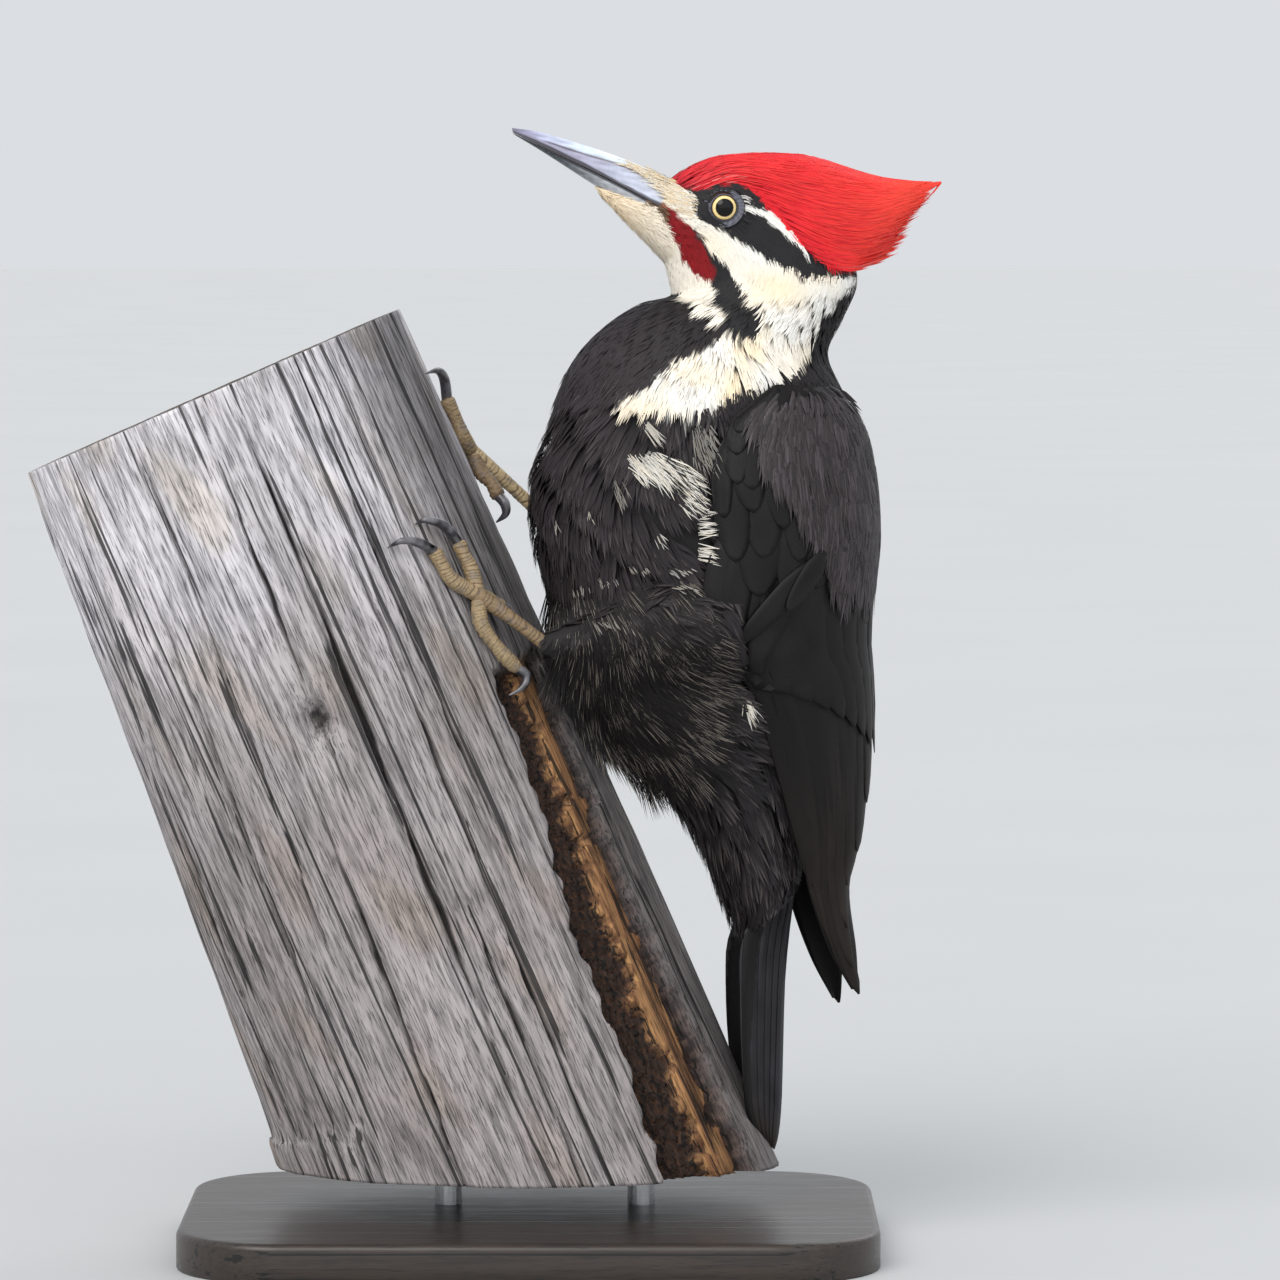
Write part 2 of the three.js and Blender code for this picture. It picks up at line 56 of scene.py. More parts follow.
camera_data = bpy.data.cameras.new("camera")
camera_data.sensor_width = 36
camera_data.lens = camera_data.sensor_width * CAMERA_DISTANCE / VIEW_WIDTH
camera_data.clip_end = 30
camera = bpy.data.objects.new("camera", camera_data)
back = Vector((0, -cos(CAMERA_RISE), sin(CAMERA_RISE)))
camera.location = VIEW_MIDDLE + back * CAMERA_DISTANCE
camera.rotation_euler = (-back).to_track_quat("-Z", "Y").to_euler()
bpy.context.scene.collection.objects.link(camera)
bpy.context.scene.camera = camera
bpy.context.scene.view_settings.view_transform = "Standard"
print("lens", round(camera_data.lens), "mm")

# %% [markdown]
# ## Arrays and meshes
# Everything below needs a few small tools: a smooth reader for tables, a smooth step, noise made of
# sine waves, the same on every run, and a function that turns arrays into a mesh.

# %% Numbers
def along(table, where):
    """Row number `where` of a table, with fractions: a Catmull-Rom cubic through the rows on each
    side."""
    table, where = np.asarray(table, float), np.asarray(where, float)
    last = len(table) - 1
    row = clip(np.floor(where).astype(int), 0, last - 1)
    t = (where - row)[..., None]
    before, start = table[clip(row - 1, 0, last)], table[row]
    end, after = table[row + 1], table[clip(row + 2, 0, last)]
    bend = (t**3 - 2 * t**2 + t) * (end - before) / 2 + (t**3 - t**2) * (after - start) / 2
    return (2 * t**3 - 3 * t**2 + 1) * start + (3 * t**2 - 2 * t**3) * end + bend


def columns_along(table, where):
    """The columns of along(), each as an array of its own."""
    return np.moveaxis(along(table, where), -1, 0)


def grid(rows, columns):
    """Two lists of parameters as arrays."""
    return np.meshgrid(rows, columns, indexing="ij")


def circle(count):
    """`count` angles once round."""
    return linspace(0, 2 * pi, count, endpoint=False)


def step(low, high, value):
    """Rises smoothly from 0 at `low` to 1 at `high`: 3t² - 2t³."""
    t = clip((value - low) / (high - low), 0, 1)
    return t * t * (3 - 2 * t)


def bell(value, wide):
    """1 at 0, falling to both sides: exp(-(value / wide)²)."""
    return np.exp(-((value / wide) ** 2))


def mix(a, b, amount):
    """a at 0, b at 1."""
    return a + (b - a) * amount


def tint(colour, other, amount):
    """Colours mixed with another by one amount each."""
    return mix(colour, other, amount[..., None])


def unit(v):
    """Vectors scaled to length 1."""
    return v / maximum(np.linalg.norm(v, axis=-1, keepdims=True), 1e-9)


def soft_noise(points, size, seed, waves=7):
    """Noise of about -1 to 1: sine waves in random directions, about `size` mm long."""
    random = np.random.default_rng(seed)
    total = 0
    for _ in range(waves):
        direction = random.normal(size=points.shape[-1])
        direction *= 2 * pi / size * random.uniform(0.6, 1.6) / np.linalg.norm(direction)
        total = total + sin(points @ direction + random.uniform(0, 2 * pi))
    return total / np.sqrt(waves)


def srgb(red, green, blue):
    """A colour given as 0 to 255 on a screen, as the linear light that shaders use."""
    c = array([red, green, blue], float) / 255
    return np.where(c <= 0.04045, c / 12.92, ((c + 0.055) / 1.055) ** 2.4)


# %% Arrays into meshes
def grid_faces(rows, columns):
    """The four-sided faces of a tube of points stored ring after ring."""
    row, column = grid(arange(rows - 1), arange(columns))
    a = row * columns + column
    b = row * columns + (column + 1) % columns
    return stack([a, b, b + columns, a + columns], -1).reshape(-1, 4)


def make_piece(name, points, faces, look, slot, nodes=(), maps=None, colours=None, normals=None):
    """A mesh object from arrays: points in mm, faces as arrays of corner numbers, and UV maps, colours
    and shading normals for each point. It rides on the model and stands for the CAD nodes."""
    corners = concatenate([f.ravel() for f in faces])
    sizes = concatenate([np.full(len(f), f.shape[1]) for f in faces])
    mesh = bpy.data.meshes.new(name)
    points = points.reshape(-1, 3)
    mesh.vertices.add(len(points))
    mesh.vertices.foreach_set("co", (points * MM).astype(np.float32).ravel())
    mesh.loops.add(len(corners))
    mesh.loops.foreach_set("vertex_index", corners.astype(np.int32))
    mesh.polygons.add(len(sizes))
    mesh.polygons.foreach_set("loop_start", (np.cumsum(sizes) - sizes).astype(np.int32))
    mesh.polygons.foreach_set("use_smooth", np.ones(len(sizes), bool))
    mesh.update(calc_edges=True)
    for label, uv in (maps or {}).items():
        layer = mesh.uv_layers.new(name=label)
        layer.data.foreach_set("uv", uv.reshape(-1, 2).astype(np.float32)[corners].ravel())
    if colours is not None:
        paint_mesh(mesh, colours.reshape(-1, 3))
    if normals is not None:
        facing = np.empty(len(sizes) * 3)
        mesh.polygons.foreach_get("normal", facing)
        own, facing = normals[corners], np.repeat(facing.reshape(-1, 3), sizes, axis=0)
        own = own * np.where((own * facing).sum(-1, keepdims=True) < 0, -1, 1)
        mesh.normals_split_custom_set(own)
    mesh.materials.append(look)
    print(name, "-", int(np.sum(sizes - 2)), "triangles")
    return settle(bpy.data.objects.new(name, mesh), slot, nodes)


def paint_mesh(mesh, colours):
    """Stores one colour for each point."""
    paint = mesh.color_attributes.new("Paint", "FLOAT_COLOR", "POINT")
    rgba = concatenate([colours, np.ones((len(colours), 1))], -1).astype(np.float32)
    paint.data.foreach_set("color", rgba.ravel())


def settle(piece, slot, nodes):
    """Puts a piece into the scene, and what make_piece() says on the frame."""
    bpy.context.scene.collection.objects.link(piece)
    if slot:
        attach(piece, "root")
    if nodes:
        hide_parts(*nodes)
    return piece


def capped(rings):
    """Closes a tube of rings with a ring at the middle of each end."""
    ends = [np.broadcast_to(end.mean(0), end.shape)[None] for end in (rings[0], rings[-1])]
    return concatenate([ends[0], rings, ends[1]])


def shell_piece(name, rings, look, slot, nodes=(), lie=None, colours=None, ends=True, flip=False):
    """A piece from a tube of rings, with capped ends. `lie` and `colours` are for each of its points,
    and `flip` turns the faces."""
    cap = capped if ends else np.asarray
    faces = grid_faces(len(rings) + 2 * ends, rings.shape[1])
    maps = None if lie is None else {"Lie": cap(lie)}
    if colours is not None:
        colours = cap(np.broadcast_to(colours, rings.shape))
    faces = faces[:, ::-1] if flip else faces
    return make_piece(name, cap(rings), [faces], look, slot, nodes, maps, colours)


# %% [markdown]
# ## Looks that several materials share
# Three effects come back on many pieces, so each is a shader node group: the barbs of a feather, a
# dusty mottle, and the fibres of wood. The shader itself stays in each material.

# %% Building node trees
class Tree:
    """A thin helper for a node tree: it adds nodes and links them by socket name."""

    def __init__(self, tree):
        self.tree, self.link = tree, tree.links.new

    def fill(self, node, links, values):
        """Sets constants on a node and joins inputs to other nodes' outputs."""
        for key, value in values.items():
            if hasattr(node, key) and key not in node.inputs:
                setattr(node, key, value)
            else:
                node.inputs[key.replace("_", " ")].default_value = value
        for socket, source in (links or {}).items():
            self.link(source, node.inputs[socket])
        return node.outputs

    def add(self, kind, links=None, **values):
        """A new node, as its outputs."""
        return self.fill(self.tree.nodes.new("ShaderNode" + kind), links, values)

    def use(self, group, links=None, **values):
        """A node group placed in a material."""
        node = self.tree.nodes.new("ShaderNodeGroup")
        node.node_tree = group
        return self.fill(node, links, values)

    def math(self, operation, a, b=None, c=None):
        """A Math node; a, b and c are numbers or outputs."""
        node = self.tree.nodes.new("ShaderNodeMath")
        node.operation = operation
        for socket, value in zip(node.inputs, (a, b, c)):
            if isinstance(value, (int, float)):
                socket.default_value = value
            elif value is not None:
                self.link(value, socket)
        return node.outputs[0]

    def times(self, a, b, plus=None):
        """a · b, or a · b + plus."""
        return self.math("MULTIPLY" if plus is None else "MULTIPLY_ADD", a, b, plus)

    def shade(self, colour, value):
        """A colour times a grey value."""
        grey = self.add("CombineXYZ", {"X": value, "Y": value, "Z": value})[0]
        node = self.tree.nodes.new("ShaderNodeMix")
        node.data_type, node.blend_type = "RGBA", "MULTIPLY"
        node.inputs[0].default_value = 1
        self.link(colour, node.inputs[6])
        self.link(grey, node.inputs[7])
        return node.outputs[2]

    def ramp(self, source, stops):
        """A Color Ramp through (position, colour or grey) stops."""
        node = self.tree.nodes.new("ShaderNodeValToRGB")
        while len(node.color_ramp.elements) < len(stops):
            node.color_ramp.elements.new(0.5)
        for element, (place, look) in zip(node.color_ramp.elements, stops):
            element.position = place
            element.color = (*np.broadcast_to(look, 3), 1)
        self.link(source, node.inputs[0])
        return node.outputs[0]

    def place(self):
        """Object coordinates, in metres."""
        return self.add("TexCoord")["Object"]

    def paint(self):
        """The colour stored on the mesh."""
        return self.add("VertexColor", layer_name="Paint")["Color"]

    def bump(self, shader, height, strength, distance=0.0003):
        """A relief of `distance` metres."""
        relief = self.add("Bump", {"Height": height}, Strength=strength, Distance=distance)
        self.link(relief[0], shader["Normal"])


INPUT_KINDS = {"Vector": "NodeSocketVector", "Map": "NodeSocketVector", "Colour": "NodeSocketColor"}


def new_group(name, inputs, outputs):
    """A shader node group with named sockets. Returns it, its Tree, and its inner sockets."""
    group = bpy.data.node_groups.new(name, "ShaderNodeTree")
    for label in ("Colour", *outputs):
        group.interface.new_socket(
            label, in_out="OUTPUT", socket_type=INPUT_KINDS.get(label, "NodeSocketFloat")
        )
    for label, default in inputs.items():
        kind = INPUT_KINDS.get(label, "NodeSocketFloat")
        socket = group.interface.new_socket(label, in_out="INPUT", socket_type=kind)
        if default is not None:
            socket.default_value = default
    given, out = (group.nodes.new("NodeGroup" + side) for side in ("Input", "Output"))
    return group, Tree(group), given.outputs, out.inputs


def new_material(name, **values):
    """A material with its Principled BSDF, whose constant values are set on its own sockets."""
    material = bpy.data.materials.new(name)
    material.use_nodes = True
    shader = material.node_tree.nodes["Principled BSDF"]
    for key, value in values.items():
        shader.inputs[key.replace("_", " ")].default_value = value
    return material, Tree(material.node_tree), shader.inputs


# %% Shared effect: barbs
def make_barbs_group():
    """Fine ribs along a feather's barbs. The map's X runs across the feather, from 0 to 1, and Y along
    it; ribs leave the shaft at a slant, broken up by noise."""
    inputs = {"Map": None, "Colour": (0.1, 0.1, 0.1, 1), "Ribs": 30, "Slant": 12}
    inputs |= {"Strength": 0.5, "Roughness": 0.5}
    group, tree, given, out = new_group("feather barbs", inputs, ("Roughness", "Height"))
    apart = tree.add("SeparateXYZ", {"Vector": given["Map"]})
    from_shaft = tree.math("ABSOLUTE", tree.math("SUBTRACT", apart["X"], 0.5))
    ribs = tree.times(apart["Y"], given["Ribs"])
    place = tree.times(from_shaft, given["Slant"], ribs)
    wobble = tree.add("TexNoise", {"Vector": given["Map"]}, Scale=3, Detail=2)["Fac"]
    place = tree.times(wobble, 3, place)
    line = tree.add("TexNoise", {"W": place}, noise_dimensions="1D", Scale=1, Detail=3)["Fac"]
    value = tree.math("SUBTRACT", line, 0.5)
    shade = tree.times(tree.times(value, given["Strength"]), 2, 1)
    tree.link(tree.shade(given["Colour"], shade), out["Colour"])
    tree.link(tree.times(value, 0.25, given["Roughness"]), out["Roughness"])
    tree.link(line, out["Height"])
    return group


BARBS = make_barbs_group()


# %% Shared effect: mottle
def make_mottle_group():
    """Soft patches, some lighter and some darker, from noise in object space."""
    inputs = {"Vector": None, "Colour": (0.5, 0.5, 0.5, 1), "Scale": 60, "Amount": 0.3}
    group, tree, given, out = new_group("mottle", inputs, ("Fac",))
    noise = tree.add("TexNoise", {"Vector": given["Vector"], "Scale": given["Scale"]}, Detail=4)["Fac"]
    value = tree.times(tree.math("SUBTRACT", noise, 0.5), given["Amount"])
    shade = tree.times(value, 2, 1)
    tree.link(tree.shade(given["Colour"], shade), out["Colour"])
    tree.link(noise, out["Fac"])
    return group


MOTTLE = make_mottle_group()

# %% [markdown]
# ## Painted materials
# The colours of the plumage run over thousands of tufts, so they are painted on the meshes. Bare parts
# add a grain, and feathers barbs: body feathers are matt, crest and flight feathers shine more.

# %% Painted materials
def painted_material(name, grain, amount=0.3, rough=None, relief=None, **values):
    """Painted colour with a grain in object space, which may drive shine and relief too."""
    material, tree, shader = new_material(name, **values)
    spots = tree.use(MOTTLE, {"Vector": tree.place(), "Colour": tree.paint()}, Scale=grain, Amount=amount)
    tree.link(spots["Colour"], shader["Base Color"])
    if rough:
        tree.link(tree.times(spots["Fac"], 0.3, rough), shader["Roughness"])
    if relief:
        tree.bump(shader, spots["Fac"], relief)
    return material


def feather_material(name, ribs, slant, strength, roughness, relief, shine):
    """Painted colour, ribbed with barbs, mottled, with a bump along the barbs."""
    material, tree, shader = new_material(name, Specular_IOR_Level=shine)
    barbs = tree.use(
        BARBS,
        {"Map": tree.add("UVMap", uv_map="Lie")[0], "Colour": tree.paint()},
        Ribs=ribs, Slant=slant, Strength=strength, Roughness=roughness,
    )
    spots = tree.use(MOTTLE, {"Vector": tree.place(), "Colour": barbs["Colour"]}, Scale=140, Amount=0.1)
    tree.link(spots["Colour"], shader["Base Color"])
    tree.link(barbs["Roughness"], shader["Roughness"])
    tree.bump(shader, barbs["Height"], relief, 0.0002)
    return material


DOWN_LOOK = feather_material("soft body feathers", 2, 9, 0.1, 0.6, 0.1, 0.25)
CREST_LOOK = feather_material("crest feathers", 1.5, 7, 0.2, 0.5, 0.2, 0.3)
VANE_LOOK = feather_material("flight feathers", 15, 14, 0.4, 0.5, 0.4, 0.2)
SCAPULAR_LOOK = feather_material("scapular feathers", 2, 5, 0.4, 0.5, 0.3, 0.3)

# %% [markdown]
# ## The body as one surface
# Head, neck and trunk are one loft. Each section hangs between the lines of back and belly, an ellipse
# that may be fuller towards the back. The coat reaches out to it, and the skin lies inside.

# %% The body surface
# back x, back z, belly x, belly z, half width, and how far the widest place lies to the back
BODY_LINES = [
    [50.5, 384.5, 42.5, 372, 7.4, 0], [58, 388, 45, 364.3, 10.6, 0],
    [70.2, 390, 47.5, 357.1, 14.2, 0.05], [86.4, 389, 49.3, 351, 16.2, 0.1],
    [102.6, 379, 50.4, 346.5, 17.6, 0.1], [113.6, 364.3, 51.1, 343.4, 18.6, 0.1],
    [118, 348.4, 48.2, 342.2, 20.4, 0.05], [112.4, 334, 39.6, 340.6, 23.5, 0.05],
    [107.2, 322, 27, 332.6, 28.5, 0.05], [113.6, 307, 15.1, 319.7, 34, 0.1],
    [119.4, 291, 6.1, 298.8, 38, 0.1], [122.6, 273.6, -0.7, 276.5, 40.5, 0.08],
    [122.4, 253.8, 0.4, 255.6, 41, 0.06], [118.6, 230.4, 6.5, 234, 39.5, 0.06],
    [112.6, 205.2, 16.2, 203.4, 35.5, 0], [106, 180, 36.7, 177.5, 29.5, 0],
    [100.6, 156, 56.2, 152.5, 24, 0], [97.4, 134.6, 74.5, 112.3, 20, 0.1],
]
BODY_END = len(BODY_LINES) - 1
BODY_TURN = np.radians(7)  # the whole bird faces a little towards -Y
TURN_MIDDLE = 61


def turned(points, by=BODY_TURN):
    """Points of the symmetrical bird, swung about an upright line to the way it faces."""
    x, y, z = np.moveaxis(points, -1, 0)
    x, c, s = x - TURN_MIDDLE, cos(by), sin(by)
    return stack([TURN_MIDDLE + x * c - y * s, x * s + y * c, z], -1)


def hung(lines, part, angle, grow):
    """Sections between an upper and a lower line (x, z, x, z, half width, shift): middle + axis · (cos
    a + shift · sin² a), with half · sin a to the side."""
    high_x, high_z, low_x, low_z, half, shift = columns_along(lines, part)
    zero = 0 * high_x
    axis = stack([high_x - low_x, zero, high_z - low_z], -1) / 2
    middle = stack([high_x + low_x, zero, high_z + low_z], -1) / 2
    reach = np.linalg.norm(axis, axis=-1)
    up = (cos(angle) + shift * sin(angle) ** 2) * (1 + grow / reach)
    points = middle + axis * up[..., None]
    points[..., 1] -= sin(angle) * (half + grow)
    return points


def body_surface(part, angle, grow=0):
    """The coat's outline before the bird is turned; `angle` runs from the back by the left side."""
    return hung(BODY_LINES, part, angle, grow)


def slopes(surface, first, second):
    """The two tangents of a surface at each place, and the unit normal on the side to which it
    grows."""
    tiny = 1e-3
    along_first = (surface(first + tiny, second) - surface(first - tiny, second)) / (2 * tiny)
    along_second = (surface(first, second + tiny) - surface(first, second - tiny)) / (2 * tiny)
    normal = unit(np.cross(along_second, along_first))
    growth = surface(first, second, 0.5) - surface(first, second)
    return along_first, along_second, normal * np.sign(np.sum(normal * growth, -1, keepdims=True))


# %% How wide a shape is at a place seen from the side
SIDE_LOW, SIDE_COUNT = array([-20, 90]), (190, 320)  # squares of 1 mm


def averaged(reach, rounds=1):
    """Each square with its neighbours, weighted 1, 2, 1, along both axes by turns."""
    for axis in (0, 1) * rounds:
        reach = (np.roll(reach, 1, axis) + 2 * reach + np.roll(reach, -1, axis)) / 4
    return reach


def measure_sides(surface, last, span):
    """For each square of the bird's side view, how far a surface reaches to the side."""
    points = surface(*grid(linspace(0, last, 1501), linspace(*span, 501)))
    cell = clip(np.round(points[..., [0, 2]] - SIDE_LOW).astype(int), 0, array(SIDE_COUNT) - 1)
    reach = np.zeros(SIDE_COUNT)
    maximum.at(reach, (cell[..., 0], cell[..., 1]), np.abs(points[..., 1]))
    return averaged(reach) * (reach > 0)


def reach_at(reach, x, z):
    """Reads a table of measure_sides() between its squares."""
    i, j = (clip(v - low, 0, count - 1.001) for v, low, count in zip((x, z), SIDE_LOW, SIDE_COUNT))
    row, column = np.floor(i).astype(int), np.floor(j).astype(int)
    near, far = (mix(reach[r, column], reach[r, column + 1], j - column) for r in (row, row + 1))
    return mix(near, far, i - row)


BODY_REACH = measure_sides(body_surface, BODY_END, (0, pi))
print("widest part of the body", round(2 * float(BODY_REACH.max()), 1), "mm")

# %% [markdown]
# ## Markings
# The stripes of the head are brush strokes on the side view: smooth lines with a half width at each
# place. One function gives the colour at any point, so skin and feathers agree.

# %% Colours of the plumage
CHARCOAL = srgb(46, 41, 44)
SOOT = srgb(21, 19, 20)
BLACK = srgb(31, 30, 32)
CREAM = srgb(240, 222, 190)
WHITE = srgb(233, 231, 225)
BUFF = srgb(250, 226, 176)
CRIMSON = srgb(128, 12, 20)
CREST_RED = srgb(222, 26, 38)
CREST_ORANGE = srgb(246, 78, 50)

# x, z and half width along each stroke
CHEEK = [[42, 385, 3], [50.5, 379, 4.6], [57.2, 371.6, 5], [64.4, 362.4, 5.9], [80, 346.5, 10.8],
         [92.5, 340.8, 9.7], [107.7, 346.3, 4], [114.7, 348.7, 1.8]]
NECK_STRIPE = [[85.2, 342.2, 11.5], [88.5, 331.6, 12.2], [79.5, 322.9, 10.8], [68.7, 319.8, 9],
               [53.2, 312.1, 9], [41, 307.8, 4.7], [24.9, 302, 1.1]]
THROAT = [[22.1, 381.2, 1.4], [34, 374.8, 3.4], [44.4, 365.2, 5.2], [52.8, 353.5, 5.6],
          [60.6, 342.2, 6.1], [64.2, 337.7, 4.3]]
MASK = [[54.1, 382.3, 1.4], [59.3, 377.7, 4], [66.9, 374.2, 6.8], [75, 368.1, 5.4], [85.7, 361, 5.4],
        [95.8, 355.3, 4.3], [106.6, 352, 2.9], [119.9, 352.1, 2.2]]
BROW = [[70.7, 380.2, 0.6], [74.3, 377.4, 1.1], [77.6, 373.4, 1.5], [83.4, 372, 1.8],
        [89.1, 367.8, 2.3], [93.7, 362.4, 1.5], [96.9, 357.8, 0.8]]
MALAR = [[46, 374.4, 2], [51.4, 368.2, 3.6], [56.4, 361.2, 4.4], [61.4, 353.8, 4.3]]
MALAR_EDGE = [[56.6, 368.2, 0.3], [60.4, 362.4, 0.6], [64, 356.8, 0.8], [67, 352.5, 1.8]]
GAPE = [[41.6, 376.4, 1.1], [43.2, 373.6, 1.9], [44.6, 370.9, 0.9]]
JAW = [[65.6, 352.1, 3.2], [68.5, 345, 4.7], [72.4, 338, 4.7], [73.8, 332.4, 5]]
WRIST_PATCH = [[35.3, 286.7, 1.4], [43.8, 282.5, 4.3], [52.5, 279.1, 4.7], [54.8, 271.3, 2.9]]
SHOULDER_PATCH = [[46.7, 302.9, 2.9], [52.8, 298.4, 3.6], [56.9, 291.4, 1.8]]
# the lower edge of the red crown, from the forehead over the eye to the nape
CROWN_EDGE = along([[49, 383.2], [57.8, 380.6], [67.4, 383.4], [75.5, 382.3], [81.3, 376.6],
                    [88.7, 368.8], [95.9, 360.3], [105.9, 353.5], [121, 353]], linspace(0, 8, 80))


def stroke(x, z, line):
    """1 inside a brush stroke: the distance to the nearest place of its line, less the half width
    there."""
    inside = np.full(np.shape(x), -1e9)
    for px, pz, half in along(line, linspace(0, len(line) - 1, 12 * len(line))):
        maximum(inside, half - np.hypot(x - px, z - pz), out=inside)
    return step(-0.5, 0.5, inside)


def crown_height(x, z):
    """How far above the crown's lower edge a place of the side view is, in mm."""
    return z - interp(x, *CROWN_EDGE.T)


def combed(table, x, z, reach):
    """The direction in which feathers lie: entries of x, z and direction, weighted by exp(-d² / 2
    reach²)."""
    table = array(table, float)
    apart = (x[..., None] - table[:, 0]) ** 2 + (z[..., None] - table[:, 1]) ** 2
    weight = np.exp(-apart / (2 * reach**2)) + 1e-12
    total = np.sum(weight, -1, keepdims=True)
    return weight @ table[:, 2:] / total, total


def plumage(points):
    """The colour at points of the unturned bird: strokes laid over a black bird, with wobbly edges."""
    x, z = (points[..., i] + 0.7 * soft_noise(points, 5, seed) for i, seed in ((0, 11), (2, 12)))
    colour = tint(SOOT, CHARCOAL, 0.35 + 0.65 * step(75, 20, points[..., 0]) * step(200, 250, points[..., 2]))
    middle = step(8, 2, np.abs(x - 0.45 * (z - 330) - 78)) * step(340, 322, z)
    cream = 0.35 + 0.3 * soft_noise(points, 22, 21) + 0.6 * middle
    pale = tint(WHITE, CREAM, clip(cream, 0, 1))
    for line, look in (
        (WRIST_PATCH, WHITE * 0.5), (SHOULDER_PATCH, WHITE * 0.3), (CHEEK, pale), (NECK_STRIPE, pale),
        (THROAT, mix(WHITE, CREAM, 0.35)), (MASK, BLACK), (JAW, BLACK), (MALAR, CRIMSON),
        (MALAR_EDGE, BLACK), (GAPE, srgb(96, 70, 54)), (BROW, WHITE),
    ):
        colour = tint(colour, look, stroke(x, z, line))
    colour = tint(colour, BUFF, step(52, 46, x) * step(374, 379, z) * step(388, 383, z))
    crown = step(-0.4, 0.4, crown_height(x, z)) * step(47, 49, x)
    return tint(colour, tint(CRIMSON, CREST_RED, step(55, 90, x)), crown)


# %% [markdown]
# ## Legs, as paths
# The thighs are feathered; the bare shanks and toes grip the post. Places there are height up its axis,
# angle round it and lift off its bark, so that the feet stay on the wood.

# %% The post's own frame
POST_LEAN = np.radians(23.8)  # from the vertical, its top towards -X
POST_FOOT = array([9, 8, 28.8])  # where the axis meets the lower cut
POST_LENGTH, POST_ACROSS, POST_DEEP = 306, 73, 61
POST_SPREAD = 10  # how much further it reaches away from the bird at its foot
post_up = array([-sin(POST_LEAN), 0, cos(POST_LEAN)])
post_out = array([cos(POST_LEAN), 0, sin(POST_LEAN)])


def on_post(up, around, lift=0):
    """Places on the post: foot + up · axis + the fluted ellipse of its section. `around` is 0 on the
    side of the bird and grows towards -Y."""
    up, around = np.broadcast_arrays(np.asarray(up, float), np.asarray(around, float))
    flute = 1 + 0.012 * sin(5 * around + 1) + 0.008 * sin(9 * around + up / 70)
    spread = POST_SPREAD * (1 - up / POST_LENGTH)
    out = (POST_ACROSS * flute + spread + lift) * cos(around) - spread
    points = POST_FOOT + up[..., None] * post_up + out[..., None] * post_out
    points[..., 1] -= (POST_DEEP * flute + lift) * sin(around)
    return points


# %% Tubes along a path
def tube(path, radii, part, angle, grow=0, reference=(0, 0, 1)):
    """Points of a round limb: a smooth line through `path` plus a circle of the radius read from
    `radii`."""
    tiny = 1e-3
    forward = unit(along(path, part + tiny) - along(path, part - tiny))
    side = unit(np.cross(forward, np.broadcast_to(reference, forward.shape)))
    around = cos(angle)[..., None] * np.cross(side, forward) + sin(angle)[..., None] * side
    return along(path, part) + (along(np.c_[radii], part)[..., 0] + grow)[..., None] * around


THIGH_PATHS = {
    "left": [[74, -26, 227], [50, -30, 225], [25, -29.5, 221], [4, -28.5, 219.5]],
    "right": [[72, 24, 246], [48, 28, 254], [26, 27.5, 260], [8, 26, 262]],
}
THIGH_RADII = [21, 18.5, 11.5, 4.6]

# %% [markdown]
# ## Skin
# One closed skin for head, neck, trunk and thighs. Loft and thigh tubes, a little smaller than the
# coat, are melted together with a voxel remesh so that no seam shows, and painted with the same
# markings, darker as painted shade in the gaps between feathers.

# %% Make the skin
def coat_depth(part):
    """How thick the feathers lie: thin on the face, deeper from the neck down."""
    return mix(1.3, 4.2, step(3.5, 10, part))


def thigh_depth(part):
    """How thick the feathers of a thigh lie."""
    return mix(2.5, 0.8, part / 3)


def melted(name, shells, cell, rounds, look):
    """The mesh of closed shells, joined by a voxel remesh and smoothed."""
    counts = np.cumsum([0] + [shell.shape[0] * shell.shape[1] for shell in shells])
    faces = [start + grid_faces(*shell.shape[:2]) for start, shell in zip(counts, shells)]
    rough = make_piece(name, concatenate([s.reshape(-1, 3) for s in shells]), faces, look, None)
    remesh = rough.modifiers.new("melt", "REMESH")
    remesh.mode, remesh.voxel_size = "VOXEL", cell * MM
    smooth = rough.modifiers.new("smooth", "SMOOTH")
    smooth.factor, smooth.iterations = 0.6, rounds
    graph = bpy.context.evaluated_depsgraph_get()
    mesh = bpy.data.meshes.new_from_object(rough.evaluated_get(graph))
    bpy.data.objects.remove(rough)
    mesh.polygons.foreach_set("use_smooth", np.ones(len(mesh.polygons), bool))
    return mesh


def make_skin():
    """The melted body and thighs, painted by plumage() and darkened as painted shade in the gaps between
    feathers.
    """
    part, angle = grid(linspace(0.05, BODY_END - 0.1, 150), circle(72))
    shells = [capped(turned(body_surface(part, angle, -coat_depth(part))))]
    part, angle = grid(linspace(0, 2.95, 30), circle(24))
    for path in THIGH_PATHS.values():
        shells.append(capped(tube(path, THIGH_RADII, part, angle, -thigh_depth(part))))
    look = painted_material("skin under the coat", 300, Roughness=0.8)
    mesh = melted("skin", shells, 1.6, 6, look)
    places = np.empty(len(mesh.vertices) * 3)
    mesh.vertices.foreach_get("co", places)
    shade = plumage(turned(places.reshape(-1, 3) / MM, -BODY_TURN))
    # Painted shade: the skin takes the markings at 0.45 where black and 0.9 where pale, so that gaps between
    # feathers read as shadow.
    paint_mesh(mesh, shade * mix(0.45, 0.9, shade.mean(-1, keepdims=True)))
    skin = bpy.data.objects.new("skin", mesh)
    print("skin has", len(mesh.polygons), "faces")
    settle(skin, "plumage", ("head", "neck", "trunk", "thigh_left", "thigh_right"))


make_skin()

# %% [markdown]
# ## Tufts
# The coat is made of thousands of thin closed blades. Each starts at the skin, follows the surface in
# the direction of the lie and ends in a point; its low triangular section catches light like a combed
# lock.

